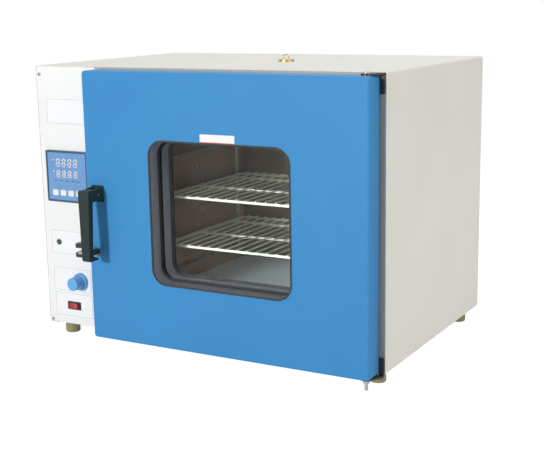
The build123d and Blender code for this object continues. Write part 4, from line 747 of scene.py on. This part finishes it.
def makeStage(look):
    bm = bmesh.new()
    bmesh.ops.create_grid(bm, x_segments=8, y_segments=8, size=look["floorSize"] / 2)
    mesh = bpy.data.meshes.new("stageFloor")
    bm.to_mesh(mesh)
    bm.free()
    floor = bpy.data.objects.new("stageFloor", mesh)
    scene.collection.objects.link(floor)
    material, tree, shader = newTree("stageFloor")
    glow = addNode(tree, "ShaderNodeEmission")
    glow.inputs["Color"].default_value = (1, 1, 1, 1)
    glow.inputs["Strength"].default_value = look["floorGlow"]
    dull = addNode(tree, "ShaderNodeBsdfDiffuse")
    dull.inputs["Color"].default_value = tuple(c * look["floorShare"] for c in look["floorColor"][:3]) + (1,)
    both = addNode(tree, "ShaderNodeAddShader")
    plain = addNode(tree, "ShaderNodeBsdfDiffuse")
    plain.inputs["Color"].default_value = look["floorColor"]
    choose = addNode(tree, "ShaderNodeMixShader")
    joinSockets(tree, glow.outputs[0], both.inputs[0])
    joinSockets(tree, dull.outputs[0], both.inputs[1])
    joinSockets(tree, directRays(tree), choose.inputs[0])
    joinSockets(tree, plain.outputs[0], choose.inputs[1])
    joinSockets(tree, both.outputs[0], choose.inputs[2])
    joinSockets(tree, choose.outputs[0], tree.nodes["Material Output"].inputs["Surface"])
    tree.nodes.remove(shader)
    mesh.materials.append(material)


def makeSurroundings(look):
    world = bpy.data.worlds.new("paleRoom")
    world.use_nodes = True
    scene.world = world
    tree = world.node_tree
    ambient = tree.nodes["Background"]
    ambient.inputs["Color"].default_value = look["ambientColor"]
    ambient.inputs["Strength"].default_value = look["ambient"]
    white = addNode(tree, "ShaderNodeBackground")
    white.inputs["Color"].default_value = (1, 1, 1, 1)
    white.inputs["Strength"].default_value = 1
    choose = addNode(tree, "ShaderNodeMixShader")
    joinSockets(tree, directRays(tree), choose.inputs[0])
    joinSockets(tree, ambient.outputs[0], choose.inputs[1])
    joinSockets(tree, white.outputs[0], choose.inputs[2])
    joinSockets(tree, choose.outputs[0], tree.nodes["World Output"].inputs["Surface"])


def makeLamps(looks):
    for name, look in looks.items():
        data = bpy.data.lights.new(name, "AREA")
        data.shape = "SQUARE"
        data.size = look["size"]
        data.energy = look["power"]
        data.color = look["color"]
        lamp = bpy.data.objects.new(name, data)
        lamp.location = look["place"]
        aim = Vector(look["aim"]) - Vector(look["place"])
        lamp.rotation_euler = aim.to_track_quat("-Z", "Y").to_euler()
        scene.collection.objects.link(lamp)


makeStage(stageLook)
makeSurroundings(stageLook)
makeLamps(lampLooks)
print("stage, surroundings and lamps made")
